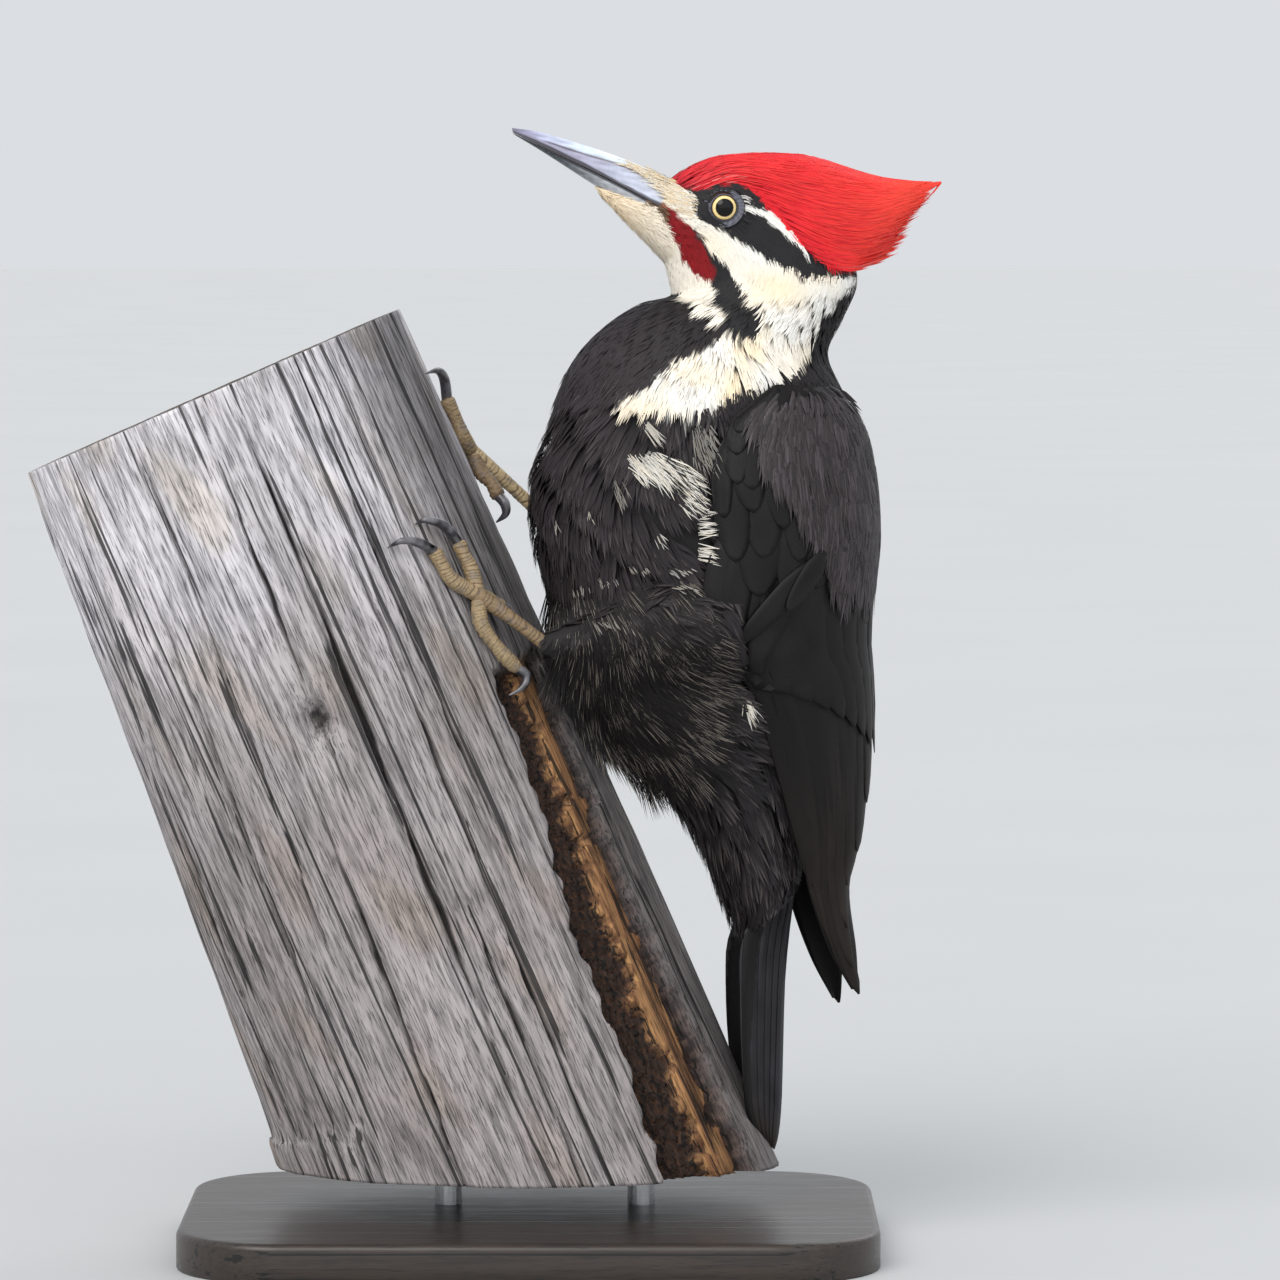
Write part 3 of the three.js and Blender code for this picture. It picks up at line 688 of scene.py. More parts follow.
# %% Scattering roots evenly
def scatter(surface, count, spans, seed, density=None):
    """Places spread evenly over a surface: points of a quasi-random sequence are kept in proportion to
    the area, times a density, that they stand for."""
    index = arange(1, 12 * count + 1) + seed * 1000
    u, v, keep = ((index * stride) % 1 for stride in (0.8191725134, 0.6710436067, 0.5497004779))
    part, angle = mix(*spans[0], u), mix(*spans[1], v)
    first, second, _ = slopes(surface, part, angle)
    area = np.linalg.norm(np.cross(first, second), axis=-1)
    if density is not None:
        area = area * density(part, angle)
    chosen = np.flatnonzero(area > keep * np.percentile(area, 99.5))[:count]
    return part[chosen], angle[chosen]


# %% Growing blades along a surface
def blade_faces(count, rings):
    """Faces of blades of `rings` triangular rings and a tip each."""
    each, last, corner = rings * 3 + 1, rings * 3 - 3, arange(3)
    k, after = arange(rings - 1)[:, None] * 3, (corner + 1) % 3
    walls = stack([k + corner, k + after, k + after + 3, k + corner + 3], -1).reshape(-1, 4)
    tip = stack([last + corner, last + after, np.full(3, each - 1)], -1)
    ends = concatenate([tip, [[2, 1, 0]]])
    start = (arange(count) * each)[:, None, None]
    return [(start + walls).reshape(-1, 4), (start + ends).reshape(-1, 3)]


def blades(middle, up, width, thick):
    """Blades from middle lines: left edge, ridge and right edge at each ring, then the tip. Normals are
    the surface's own, leaning aside at the edges, so that neighbours blend."""
    count, rings = middle.shape[0], middle.shape[1] - 1
    side = unit(np.cross(np.gradient(middle, axis=1), up))[:, :-1]
    share = interp(arange(rings) / rings, [0, 0.5, 1 - 1 / rings], (0.55, 1, 0.75))[None]
    half = (width[:, None] / 2 * share)[..., None] * side
    base, up_here = middle[:, :-1], up[:, :-1]
    ridge = base + ((width * thick)[:, None] * share)[..., None] * up_here
    points = stack([base - half, ridge, base + half], 2).reshape(count, rings * 3, 3)
    leaning = unit(up_here[:, :, None] + 0.4 * array([[-1], [0], [1]]) * side[:, :, None])
    normals = leaning.reshape(count, rings * 3, 3)
    return concatenate([points, middle[:, -1:]], 1), concatenate([normals, up[:, -1:]], 1)


def blade_run(rings):
    """How far along a blade each of its points lies, ready to spread over blades and colours."""
    return np.append(np.repeat(arange(rings) / rings, 3), 1)[None, :, None]


def blade_maps(root_uv, length, rings):
    """OFBake, a patch 0.003 across at the root's place on the skin's unwrap, and Lie, across from 0 to
    1 and along in cm."""
    u, across = blade_run(rings)[0, :, 0], np.append(np.tile([0, 0.5, 1], rings), 0.5)
    bake = root_uv[:, None] + 0.003 * stack([across, u], -1)
    far_apart = root_uv[:, :1] * 571
    lie = stack([across + 0 * far_apart, u * length[:, None] / 10 + far_apart], -1)
    return {"OFBake": bake, "Lie": lie}


def tangent_step(first, second, wanted):
    """How far to go in both parameters of a surface so that the place moves by `wanted`: the equations
    of the surface's metric, solved."""
    a, b, c = (np.sum(p * q, -1) for p, q in ((first, first), (first, second), (second, second)))
    d, e = (np.sum(p * wanted, -1) for p in (first, second))
    scale = maximum(a * c - b * b, 1e-9)
    return (c * d - b * e) / scale, (a * e - b * d) / scale


def lay(surface, part, angle, length, turn, lift, bend, rings, flow, aside):
    """Middle lines of blades on a surface, towards growing `part` or where `flow` sends them, swung by
    `turn`, curved by `bend`, `aside` mm beside their place, `lift` off it at root, middle and tip."""
    first, second, normal = slopes(surface, part, angle)
    ahead = unit(first) if flow is None else flow(surface(part, angle), unit(first), normal)
    across = np.cross(normal, ahead)
    u = linspace(0, 1, rings + 1)
    heading = (turn[:, None] + bend[:, None] * u)[..., None]
    run = (length[:, None] * u)[..., None]
    wanted = run * (cos(heading) * ahead[:, None] + sin(heading) * across[:, None])
    wanted = wanted + aside[:, None, None] * across[:, None]
    more = stack(tangent_step(first[:, None], second[:, None], wanted))
    ends = surface(part + more[0, :, -1], angle + more[1, :, -1]) - surface(part, angle)
    more *= np.minimum(1, 1.05 * length / maximum(np.linalg.norm(ends, axis=-1), 1e-6))[:, None]
    parts, angles = part[:, None] + more[0], angle[:, None] + more[1]
    root, middle, tip = (v[:, None] for v in lift)
    lifts = mix(mix(root, middle, step(0, 0.5, u)), tip, step(0.45, 1.2, u))
    return surface(parts, angles, lifts), slopes(surface, parts, angles)[2]


# x, z and direction of the coat seen from the side: down the breast, and from the flank
# forwards to the foot, down over the belly and back over the edge of the wing
FLOW = [
    [56, 331, -0.8, -0.6], [35, 331, -0.85, -0.5], [18, 317, -0.75, -0.65], [7, 295, -0.45, -0.9],
    [0, 270, -0.1, -1], [6, 248, 0.05, -1], [27, 288, -0.35, -0.94], [20, 263, 0.1, -1],
    [38, 263, 0.5, -0.85], [53, 259, 0.85, -0.5], [35, 236, 0.5, -0.85], [20, 222, 0.3, -0.95],
    [6, 222, -0.5, -0.85], [17, 202, 0.15, -1], [35, 205, 0.8, -0.6], [53, 234, 0.85, -0.5],
    [53, 212, 0.95, -0.3], [64, 201, 0.97, -0.25], [64, 188, 0.9, -0.4], [50, 190, 0.85, -0.5],
    [38, 184, 0.55, -0.8], [45, 172, 0.3, -0.95], [60, 160, 0.15, -1], [68, 144, 0.2, -1],
    [56, 274, 0.7, -0.7], [29, 306, -0.6, -0.8], [49, 306, 0, -1], [58, 308, 0.4, -0.9],
    [78, 313, 0.3, -0.95],
]


def body_flow(points, ahead, normal):
    """The lie of the coat: nearby entries of FLOW on the sides, straight along the body elsewhere."""
    side_view, total = combed(FLOW, points[..., 0], points[..., 2], 11)
    wanted = stack([side_view[..., 0], 0 * side_view[..., 0], side_view[..., 1]], -1)
    strength = clip(total * 1.6, 0, 1) * step(0.25, 0.7, np.abs(normal[..., 1:2]))
    aimed = mix(ahead, wanted, strength)
    return unit(aimed - normal * np.sum(aimed * normal, -1, keepdims=True))


# %% Coats
def vary(random, low, high, like):
    """A random number between two others for each entry of `like`."""
    return random.uniform(low, high, len(like))


def tuft_piece(name, middle, normal, sizes, root_uv, colour, look, slot, place=turned):
    """A piece made of blades of some lengths and widths, with a `colour` for each point."""
    count, rings = middle.shape[0], middle.shape[1] - 1
    points, normals = blades(middle, normal, sizes[1], 0.07)
    normals = place(normals.reshape(-1, 3)) - place(np.zeros(3))
    colour = clip(np.broadcast_to(colour, points.shape), 0, 1)
    maps = blade_maps(root_uv, sizes[0], rings)
    make_piece(name, place(points), blade_faces(count, rings), look, slot, (), maps, colour, normals)


def coat(name, surface, count, spans, seed, size, box, paint, strands=1, depth=coat_depth,
         density=None, turn=None, flow=None, swing=0.12, loose=0.3, even=0.09, rise=0.04, rings=3,
         dark=0.5, look=DOWN_LOOK, slot="plumage", place=turned):
    """Feathers over a stretch of a surface: fans of `strands` blades from one root. `size` gives length
    and width, `paint` the colour from where it shows, and `box` the place on the unwrap. `density`
    thins the roots, `flow` and `turn` aim them, `rise` is how far tips stand off as a share of the
    length, `loose` how unevenly they lie, in mm, and `even` how much shades vary. `dark` is the
    painted shade at the roots, lighter on pale blades."""
    random = np.random.default_rng(seed)
    part, angle = scatter(surface, count, spans, seed, density)
    count = len(part)
    length, width = size(part, angle, random)
    aim = swing * random.normal(size=count) + (turn(part, angle) if turn else 0)
    over = vary(random, -1.2, 0.5, part) * loose
    tip = over + vary(random, -0.3, 1, part) * rise * length
    bend = swing * random.normal(size=count)
    shade = vary(random, 1 - even, 1 + even, part)

    each = np.repeat(arange(count), strands)
    fanned = strands > 1
    fan = np.tile(linspace(-1, 1, strands) if fanned else [0], count)
    fan = fan + random.normal(0, 0.12, len(each)) * fanned
    blade = (width / (0.62 * strands + 0.38))[each] * vary(random, 0.7, 1.3, each)
    long = length[each] * (1 - 0.28 * fan**2 * fanned) * vary(random, 0.86, 1.1, each)
    spread = np.arctan(0.34 * width / length)[each] * fan
    aside = 0.28 * (width[each] - blade) * fan
    over = over[each] - 0.35 * loose * fan**2
    tip = tip[each] + random.normal(0, 0.25, len(each)) * loose
    part, angle = part[each], angle[each]
    lift = (-depth(part) - 0.5, over, tip)
    aims = (aim[each] + spread, lift, bend[each] - 0.5 * spread)
    middle, normal = lay(surface, part, angle, long, *aims, rings, flow, aside)
    run = blade_run(rings)
    colour = paint(mix(middle[:, 0], middle[:, -1], 0.65), run, random)
    bright = colour.mean(-1, keepdims=True)
    tone = (shade[each] * vary(random, 1 - even / 2, 1 + even / 2, each))[:, None, None]
    tone = 1 + (tone - 1) * mix(2.5, 1, clip(2 * bright, 0, 1))
    # Painted shade: each blade darkens towards its root by `dark`, less where pale, and is painted a little
    # lighter at its tip.
    colour = colour * tone * mix(mix(dark, 0.97, bright), 1.05, step(0, 0.8, run))
    root_uv = stack([box[0] + box[2] * ((angle / (2 * pi)) % 1), box[1] + box[3] * part], -1)
    tuft_piece(name, middle, normal, (long, blade), root_uv, colour, look, slot, place)


def wisp_paint(amount):
    """Paints the markings, with greyer ends on a share of the blades."""

    def paint(place, run, random):
        colour = plumage(place)[:, None] + 0 * run
        if not amount:
            return colour
        chosen = (random.random(len(place)) < amount)[:, None, None] * step(0.5, 1, run)
        return mix(colour, srgb(92, 86, 84), 0.6 * chosen)

    return paint


def feather_size(lengths, widths, ends, low, high):
    """Sizes that change over two spans of `part` and vary between `low` and `high` times that."""

    def size(part, angle, random):
        factor = vary(random, low, high, part)
        return mix(*lengths, step(*ends[0], part)) * factor, mix(*widths, step(*ends[1], part)) * factor

    return size


# %% [markdown]
# ## Head, breast, belly and thighs
# The face has the smallest feathers, pressed flat, pointing away from the bill and parting round the
# eye. They lengthen over cheek and neck; from the breast down their ends separate into wisps.

# %% Body feathers
EYE_X, EYE_Z, EYE_DEPTH = 67.7, 375, 11.5
ROUND = (0, 2 * pi)


def round_the_eye(part, angle):
    """No roots in the bare ring round the eye nor under the crest."""
    place = body_surface(part, angle)
    from_eye = np.hypot(place[..., 0] - EYE_X, place[..., 2] - EYE_Z)
    under = step(2.5, 1.2, crown_height(place[..., 0], place[..., 2]))
    return step(6.2, 7, from_eye) * mix(1, 0.7, step(2, 6, part)) * under


def face_turn(part, angle):
    """Along the head, swinging towards the throat below."""
    below = step(1.2, 2.4, np.abs((angle + pi) % (2 * pi) - pi))
    return -0.3 * np.sign(sin(angle)) * below * step(7, 2, part)


face_size = feather_size((4, 9.5), (0.55, 0.8), ((0.5, 5), (1, 6)), 0.8, 1.25)
neck_size = feather_size((8.5, 14), (2.8, 5.4), ((5, 9), (5, 9)), 0.85, 1.2)
breast_size = feather_size((14, 20), (6.5, 9), ((8, 14), (8, 13)), 0.8, 1.25)
for name, count, span, seed, size, greyer, options in (
    ("head", 17500, (0.1, 5.8), 1, face_size, 0,
     dict(density=round_the_eye, turn=face_turn, slot="head", rings=2, dark=0.88, even=0.07, loose=0.04,
          rise=0.01, swing=0.05)),
    ("neck", 1540, (4.9, 9.3), 2, neck_size, 0,
     dict(strands=8, flow=body_flow, dark=0.86, even=0.07, rise=0.018, loose=0.1, swing=0.06)),
    ("breast", 1150, (8.6, 13.2), 3, breast_size, 0.2,
     dict(strands=9, flow=body_flow, rise=0.05, swing=0.08, loose=0.9)),
    ("belly", 950, (12.8, 16.95), 6, breast_size, 0.3, dict(strands=9, flow=body_flow, rise=0.12, loose=0.9)),
):
    box = (0.005, 0.005, 0.8, 0.98 / BODY_END)
    coat("coat_" + name, body_surface, count, (span, ROUND), seed, size, box, wisp_paint(greyer), **options)


def thigh_surface(side):
    """The outline of one thigh as a surface of part and angle."""
    return lambda part, angle, grow=0: tube(THIGH_PATHS[side], THIGH_RADII, part, angle, grow)


def thigh_size(part, angle, random):
    """17 mm long at the flank and 6 mm at the heel."""
    factor = vary(random, 0.75, 1.25, part)
    return mix(17, 6, part / 3) * factor, mix(6, 2.5, part / 3) * factor


for side, seed, left in (("left", 4, 0.82), ("right", 5, 0.91)):
    coat("coat_thigh_" + side, thigh_surface(side), 260, ((0.2, 2.85), ROUND), seed, thigh_size,
         (left, 0.005, 0.08, 0.3), wisp_paint(0.35), strands=7, depth=thigh_depth, flow=body_flow,
         place=np.asarray, rise=0.12, loose=0.7)

# %% [markdown]
# ## Crest
# A wedge of long narrow feathers swept back from the forehead. A red core, darkened as painted shade
# between the strands, fills it, and strands lie on that in three layers, following the outline above
# and the black mask below, out to a ragged rear edge.

# %% The crest's shape
# upper x and z, lower x and z, half thickness, shift
CREST_LINES = [
    [50.5, 385, 53, 383, 3, 0], [60.5, 391.2, 61, 384, 8.6, 0], [76, 394.4, 78, 383, 12.4, 0],
    [96, 394, 92, 372, 14.6, 0], [112, 389.6, 104, 357, 14, 0], [126, 385.4, 118, 352, 9.6, 0],
    [140, 383.8, 133, 366, 4.4, 0], [148, 384.2, 147, 381.6, 1, 0],
]
# z and x of the ragged rear edge
CREST_REAR = [[351, 118.8], [353.5, 124], [358, 127.8], [369, 135], [378, 140.4], [384, 146.5], [388, 147]]


def crest_surface(part, angle, grow=0):
    """The wedge of the crest, hung between its upper and its lower line."""
    return hung(CREST_LINES, part, angle, grow)


CREST_REACH = measure_sides(crest_surface, len(CREST_LINES) - 1, (0, pi))
CREST_TOP = along(CREST_LINES, linspace(0, len(CREST_LINES) - 1, 60))


def crest_side(x, z):
    """How far head and crest reach to the side: the larger, rounded where they meet."""
    head, crest = reach_at(BODY_REACH, x, z), reach_at(CREST_REACH, x, z)
    return (head + crest + np.hypot(head - crest, 0.35 * np.minimum(head, crest))) / 2


# x, z and slope of the strands seen from the side: up over the forehead, down with the
# crown's edge behind the eye, and up again towards the rear edge
CREST_FLOW = [
    [53.8, 386.8, 0.7], [57, 383.5, 0.5], [64.5, 386.8, 0.3], [75, 389, -0.08], [82.3, 381.8, -0.4],
    [89.4, 392.5, -0.08], [93, 374.7, -0.45], [100, 385.4, -0.2], [103.6, 376.8, -0.14],
    [100, 365.4, -0.5], [110.7, 369.7, -0.05], [107.2, 359.8, -0.25], [118, 360.5, 0.15],
    [125, 367.6, 0.3], [128.5, 378.3, 0.08], [135.6, 381.8, 0.15], [141, 384, 0.3],
    [135.6, 372.6, 0.55], [121.4, 355.5, 0.4], [114.3, 388.9, -0.24], [125, 386, -0.12],
]


def side_strands(x, z, length, heading, outside, lift, side, rings=4):
    """Middle lines of blades on a shape that reaches `outside` at x and z of the side view, marched
    along `heading` in equal steps, sinking no steeper than one in two."""
    rows, tiny, y = [], 0.7, 0.15
    for k in range(rings + 1):
        wanted = outside(x, z) + mix(*lift, k / rings)
        y = maximum(maximum(wanted, 0.15), y - 0.5 * length / rings * (k > 0))
        rows.append(stack([x, y, z], -1))
        turn = heading(x, z)
        x, z = x + cos(turn) * length / rings, z + sin(turn) * length / rings
    middle = stack(rows, 1)
    px, pz = middle[..., 0], middle[..., 2]
    slope_x = clip((outside(px + tiny, pz) - outside(px - tiny, pz)) / (2 * tiny), -0.6, 0.6)
    slope_z = clip((outside(px, pz + tiny) - outside(px, pz - tiny)) / (2 * tiny), -0.8, 0.8)
    normal = unit(stack([-slope_x, np.ones_like(px), -slope_z], -1))
    flip = stack([np.ones_like(x), np.broadcast_to(side, x.shape), np.ones_like(x)], -1)[:, None]
    return middle * flip, normal * flip


def side_map(x, z, box):
    """Where a place of the side view lies on the unwrap: x across and z up, inside a box."""
    return stack([box[0] + box[2] * (x + 10) / 170, box[1] + box[3] * (z - 100) / 300], -1)


def crest_strands(layer, count, side, random):
    """Strands of one layer, rooted over wedge and side view, kept under the upper outline and ending at
    the rear edge."""
    part, angle = scatter(crest_surface, count * 2, ((0, 6.6), (0, 1.9)), 31 + layer)
    root = crest_surface(part, angle)[:, [0, 2]] - [2, 0.4]
    spread = stack([random.uniform(50, 138, count * 4), random.uniform(352, 392, count * 4)], -1)
    x, z = concatenate([root[: len(root) // 2], spread]).T
    top = interp(x, *CREST_TOP.T[:2])
    rear = interp(z, *np.transpose(CREST_REAR))
    keep = (crown_height(x, z) > 0.1) & (z < top - 0.3) & (x < rear - 4)
    chosen = random.permutation(np.flatnonzero(keep))[:count]
    x, z = x[chosen], z[chosen]
    length = mix(8, 30, step(54, 104, x)) * vary(random, 0.8, 1.2, x)
    wander = random.normal(0, 0.05, len(x))
    down = layer * 1.5 + vary(random, 0, 1, x)

    def heading(px, pz):
        return np.arctan(combed(CREST_FLOW, px, pz, 6)[0][..., 0]) + wander

    for trial in range(2):
        middle, normal = side_strands(x, z, length, heading, crest_side, (-down, 0.6 - down), side)
        past = middle[:, -1, 0] - interp(middle[:, -1, 2], *np.transpose(CREST_REAR))
        length = length - maximum(past + 2 + 8 * random.random(len(x)), 0) * (trial == 0)
    top = interp(middle[..., 0], *CREST_TOP.T[:2]) - 0.5 * down[:, None] + 0.4
    middle[..., 2] = np.minimum(middle[..., 2], top)
    return middle, normal, length, side_map(x, z, CREST_BOXES[side])


def crest_paint(place, run, random):
    """Scarlet, crimson in front, orange in the tips behind, pink hairs along the lower edge; each strand
    darker towards its root as painted shade.
    """
    each = (len(place), 1, 1)
    front, back = step(80, 55, place[:, :1, None]), step(90, 140, place[:, :1, None])
    deep = mix(CREST_RED, srgb(196, 14, 38), front)
    tip = mix(CREST_ORANGE, srgb(246, 96, 84), random.uniform(0, 0.35, each))
    low = step(5, 0, crown_height(place[..., 0], place[..., 2]))[:, None, None]
    colour = mix(deep, tip, (0.25 + 0.5 * back) * step(0.3, 1, run))
    colour = mix(colour, srgb(238, 168, 160), 0.5 * low * (random.random(each) < 0.3))
    tone = 1 + mix(0.1, 0.22, front) * random.uniform(-1, 1, each)
    # Painted shade: strands darken to 0.9 at their roots.
    return colour * mix(0.9, 1.03, step(0, 0.6, run)) * tone


CREST_BOXES = {-1: (0.82, 0.34, 0.08, 0.12), 1: (0.91, 0.34, 0.08, 0.12)}
for side, label in ((-1, "left"), (1, "right")):
    random = np.random.default_rng(40 + side)
    layers = [crest_strands(layer, count, side, random) for layer, count in enumerate((3600, 1500, 600))]
    middle, normal, length, root_uv = (concatenate(rows) for rows in zip(*layers))
    width = mix(0.5, 0.85, step(12, 30, length)) * vary(random, 0.7, 1.25, length)
    colour = crest_paint(mix(middle[:, 0], middle[:, -1], 0.65), blade_run(4), random)
    tuft_piece("crest_" + label, middle, normal, (length, width), root_uv, colour, CREST_LOOK, "crest")


# %% The ridge and the core of the crest
def crest_size(part, angle, random):
    """9 mm long at the forehead and 22 mm behind it."""
    return mix(9, 22, step(1, 4, part)), vary(random, 0.6, 1, part)


coat("crest_top", crest_surface, 1500, ((0.2, 6.2), (-0.95, 0.95)), 12, crest_size,
     (0.82, 0.3, 0.16, 0.035), crest_paint, depth=lambda part: 1.5 + 0 * part, look=CREST_LOOK,
     slot="crest", dark=0.9, even=0.08, loose=0.25, rise=0.01, swing=0.05)
rings = turned(crest_surface(*grid(linspace(0.15, 6, 40), circle(32)), -2.2))
# Painted shade: the core is crest red at 0.7, for the depth between the strands.
shell_piece("crest_core", rings, CREST_LOOK, "crest", ("crest",), rings[..., [1, 0]] / 10, CREST_RED * 0.7)

# %% [markdown]
# ## Bristles at the bill
# Short stiff feathers lie forward over the nostrils, and a few black hairs stand round the gape. They
# grow from the front of the face along the bill.

# %% Nasal tufts and bristles
def beside_bill(x, z):
    """How far out the face lies, or in front of it the bill, which narrows to its ridge."""
    ridge = interp(x, [-7, 50], [404.5, 386.5])
    bill = interp(x, [-6, 5, 25, 40, 54], [1.1, 2.7, 4.9, 6.3, 7])
    bill = bill * 0.98 * np.sqrt(clip((ridge - z) / 7, 0.05, 1))
    return maximum(reach_at(BODY_REACH, x, z), bill)


def make_bristles():
    """Cream tufts over the nostril, grey hairs where crest and bill meet, dark hairs at the gape:
    count, spans of x, fall, length, aim and width, and two colours."""
    random = np.random.default_rng(60)
    for name, count, x, down, length, aim, width, looks in (
        ("nasal_tufts", 2400, (37, 61), (0.8, 9.5), (3, 9), (2.62, 3), (0.16, 0.32),
         (srgb(230, 204, 156), WHITE)),
        ("forehead_hairs", 260, (44, 53), (-0.6, 2.6), (3, 5.5), (2.5, 3), (0.15, 0.3),
         (srgb(96, 88, 84), BUFF)),
        ("gape_bristles", 420, (39.6, 46), (10.2, 15.8), (2.5, 5), (-1.1, -0.5), (0.2, 0.4),
         (srgb(70, 50, 40), srgb(150, 120, 92))),
    ):
        length, aim, width = (random.uniform(*span, count) for span in (length, aim, width))
        x = x[1] - (x[1] - x[0]) * random.random(count) ** 1.3
        down = random.uniform(*down, count)
        down = np.where(name == "nasal_tufts", down * mix(0.1, 1, step(40, 60, x)), down)
        z = 387.8 - (x - 44) * np.where(x > 44, 0.5, 0.32) - down
        side = np.where(arange(count) % 2 == 0, -1, 1)
        lifts = (-1.2, random.uniform(0, 0.6, count))
        middle, normal = side_strands(x, z, length, lambda px, pz: aim, beside_bill, lifts, side)
        each = (count, 1, 1)
        colour = mix(*looks, random.uniform(0, 1, each)) * random.uniform(0.95, 1.05, each)
        # Painted shade: each bristle darkens to 0.92 at its root.
        colour = colour * mix(0.92, 1.03, blade_run(4))
        root_uv = side_map(x, z, (0.82, 0.46, 0.16, 0.04))
        tuft_piece(name, middle, normal, (length, width), root_uv, colour, DOWN_LOOK, "head")


make_bristles()


# %% The chin
def chin_surface(part, angle, grow=0):
    """A leaning ellipse that grows from the wedge's tip, 0, to the throat, 1."""
    wide, high = mix(1.4, 9.4, part) + grow, mix(1, 10.5, part) + grow
    up = cos(angle) * high
    x = mix(23, 50, part) + 0.5 * up
    return stack([x, -sin(angle) * wide, mix(382.6, 368, part) + 0.86 * up], -1)


def chin_size(part, angle, random):
    """Short and hair-thin."""
    return vary(random, 4.5, 7.5, part), vary(random, 0.4, 0.75, part)


def chin_paint(place, run, random):
    """White, creamy towards the bill."""
    warm = step(48, 26, place[:, :1, None])
    return mix(mix(WHITE, CREAM, 0.5), srgb(240, 216, 178), 0.75 * warm) + 0 * run


coat("coat_chin", chin_surface, 3600, ((0, 1.1), (1, 5.3)), 9, chin_size, (0.82, 0.5, 0.16, 0.04),
     chin_paint, depth=lambda part: 0.6 + 0 * part, slot="head", rings=2, dark=0.95, even=0.07, loose=0.3,
     rise=0.2)

# %% [markdown]
# ## Wings
# A folded wing is a stack of vanes, so each is built: a plate below, then primaries, secondaries,
# coverts and, over the back, loose scapular feathers. A vane is a thin closed leaf on the wing's
# surface, with a raised shaft.

# %% The wing's surface
# height, front x and y, back x and y, and how far the wing bulges between them
WING_LINES = [
    [312, 86, 34, 106, 22, 2], [300, 70, 38, 117, 11, 11], [282, 62, 41, 122.6, 6, 16.5],
    [258, 61, 43.5, 124.6, 3, 18], [236, 57.5, 43, 123, 2.5, 18], [218, 61, 40, 122.2, 2.5, 17],
    [205, 77, 36, 122.4, 3, 13.5], [176, 87, 30, 123, 4, 10], [148, 95, 25, 120.5, 6, 6.5],
    [130, 99, 22.5, 116.5, 8, 4.2], [108, 107.5, 19.5, 118.5, 12, 1.6], [92, 117.2, 16.8, 118.8, 15.6, 0.3],
]
WING_END = len(WING_LINES) - 1
RIGHT_WING_HANGS = (2.5, 7)  # mm forward and down at its tip


def wing_surface(side):
    """The outside of a folded wing: `over` goes from front edge, 0, to back edge, 1, on a slanting line
    plus a bulge sin(π · over)^0.6."""

    def surface(part, over, grow=0):
        z, front_x, front_y, back_x, back_y, bulge = columns_along(WING_LINES, part)
        slant_x, slant_y = back_x - front_x, back_y - front_y
        size = np.hypot(slant_x, slant_y)
        out = sin(pi * clip(over, 0, 1)) ** 0.6 * bulge + grow
        x = front_x + slant_x * over - slant_y / size * out
        y = front_y + slant_y * over + slant_x / size * out
        hang = (side > 0) * (part / WING_END) ** 2
        return stack([x - RIGHT_WING_HANGS[0] * hang, side * y, z - RIGHT_WING_HANGS[1] * hang], -1)

    return surface


# %% Vanes
def vane_faces(count, rings, around):
    """Faces of closed leaves with half of the points of each ring above and half below."""
    k = arange(around // 2 - 1)
    end = stack([k, k + 1, around - 2 - k, around - 1 - k], -1)
    walls, last = grid_faces(rings, around)[:, ::-1], (end + (rings - 1) * around)[:, ::-1]
    each = concatenate([walls, end, last])
    return (arange(count)[:, None, None] * rings * around + each).reshape(-1, 4)


def vanes(surface, root, tip, width, lift, blunt, power, camber=0.05, rings=10):
    """Leaves between `root` and `tip`, places in the surface's own parameters. The half width is (1 -
    t^power)^0.5, t running from `blunt` to the tip. Gives points, map Lie, and how far along they
    are."""
    u, v = 1 - (1 - linspace(0, 1, rings)) ** 1.35, linspace(-1, 1, 5)
    line = mix(root[:, None], tip[:, None], u[None, :, None])
    first, second, normal = slopes(surface, line[..., 0], line[..., 1])
    ahead = unit(np.gradient(surface(line[..., 0], line[..., 1]), axis=1))
    t = clip((u - blunt) / (1 - blunt), 0, 1)
    outline = np.sqrt(maximum(1 - t**power, 0.004)) * mix(0.45, 1, step(0, 0.25, u))
    half = (width[:, None] / 2 * outline)[..., None]
    wanted = np.cross(ahead, normal)[:, :, None] * (half * v)[..., None]
    more = tangent_step(first[:, :, None], second[:, :, None], wanted)
    parts, overs = line[..., 0, None] + more[0], line[..., 1, None] + more[1]
    low = mix(lift[0][:, None], lift[1][:, None], u)[..., None] - camber * half * np.abs(v) ** 1.5
    shaft = 0.18 * bell(v, 0.14) * (1 - 0.6 * u)[:, None]
    top, under = surface(parts, overs, low + shaft), surface(parts, overs, low - 0.3)
    ring = concatenate([top, under[:, :, ::-1]], 2)
    length = np.linalg.norm(top[:, -1, 2] - top[:, 0, 2], axis=-1)[:, None, None]
    far_apart = 7 * arange(len(root))[:, None, None]
    across = np.append(v, v[::-1]) / 2 + 0.5
    lie = stack(np.broadcast_arrays(across, u[:, None] * length / 10 + far_apart), -1)
    return ring, lie, np.broadcast_to(u[:, None], ring.shape[:3])


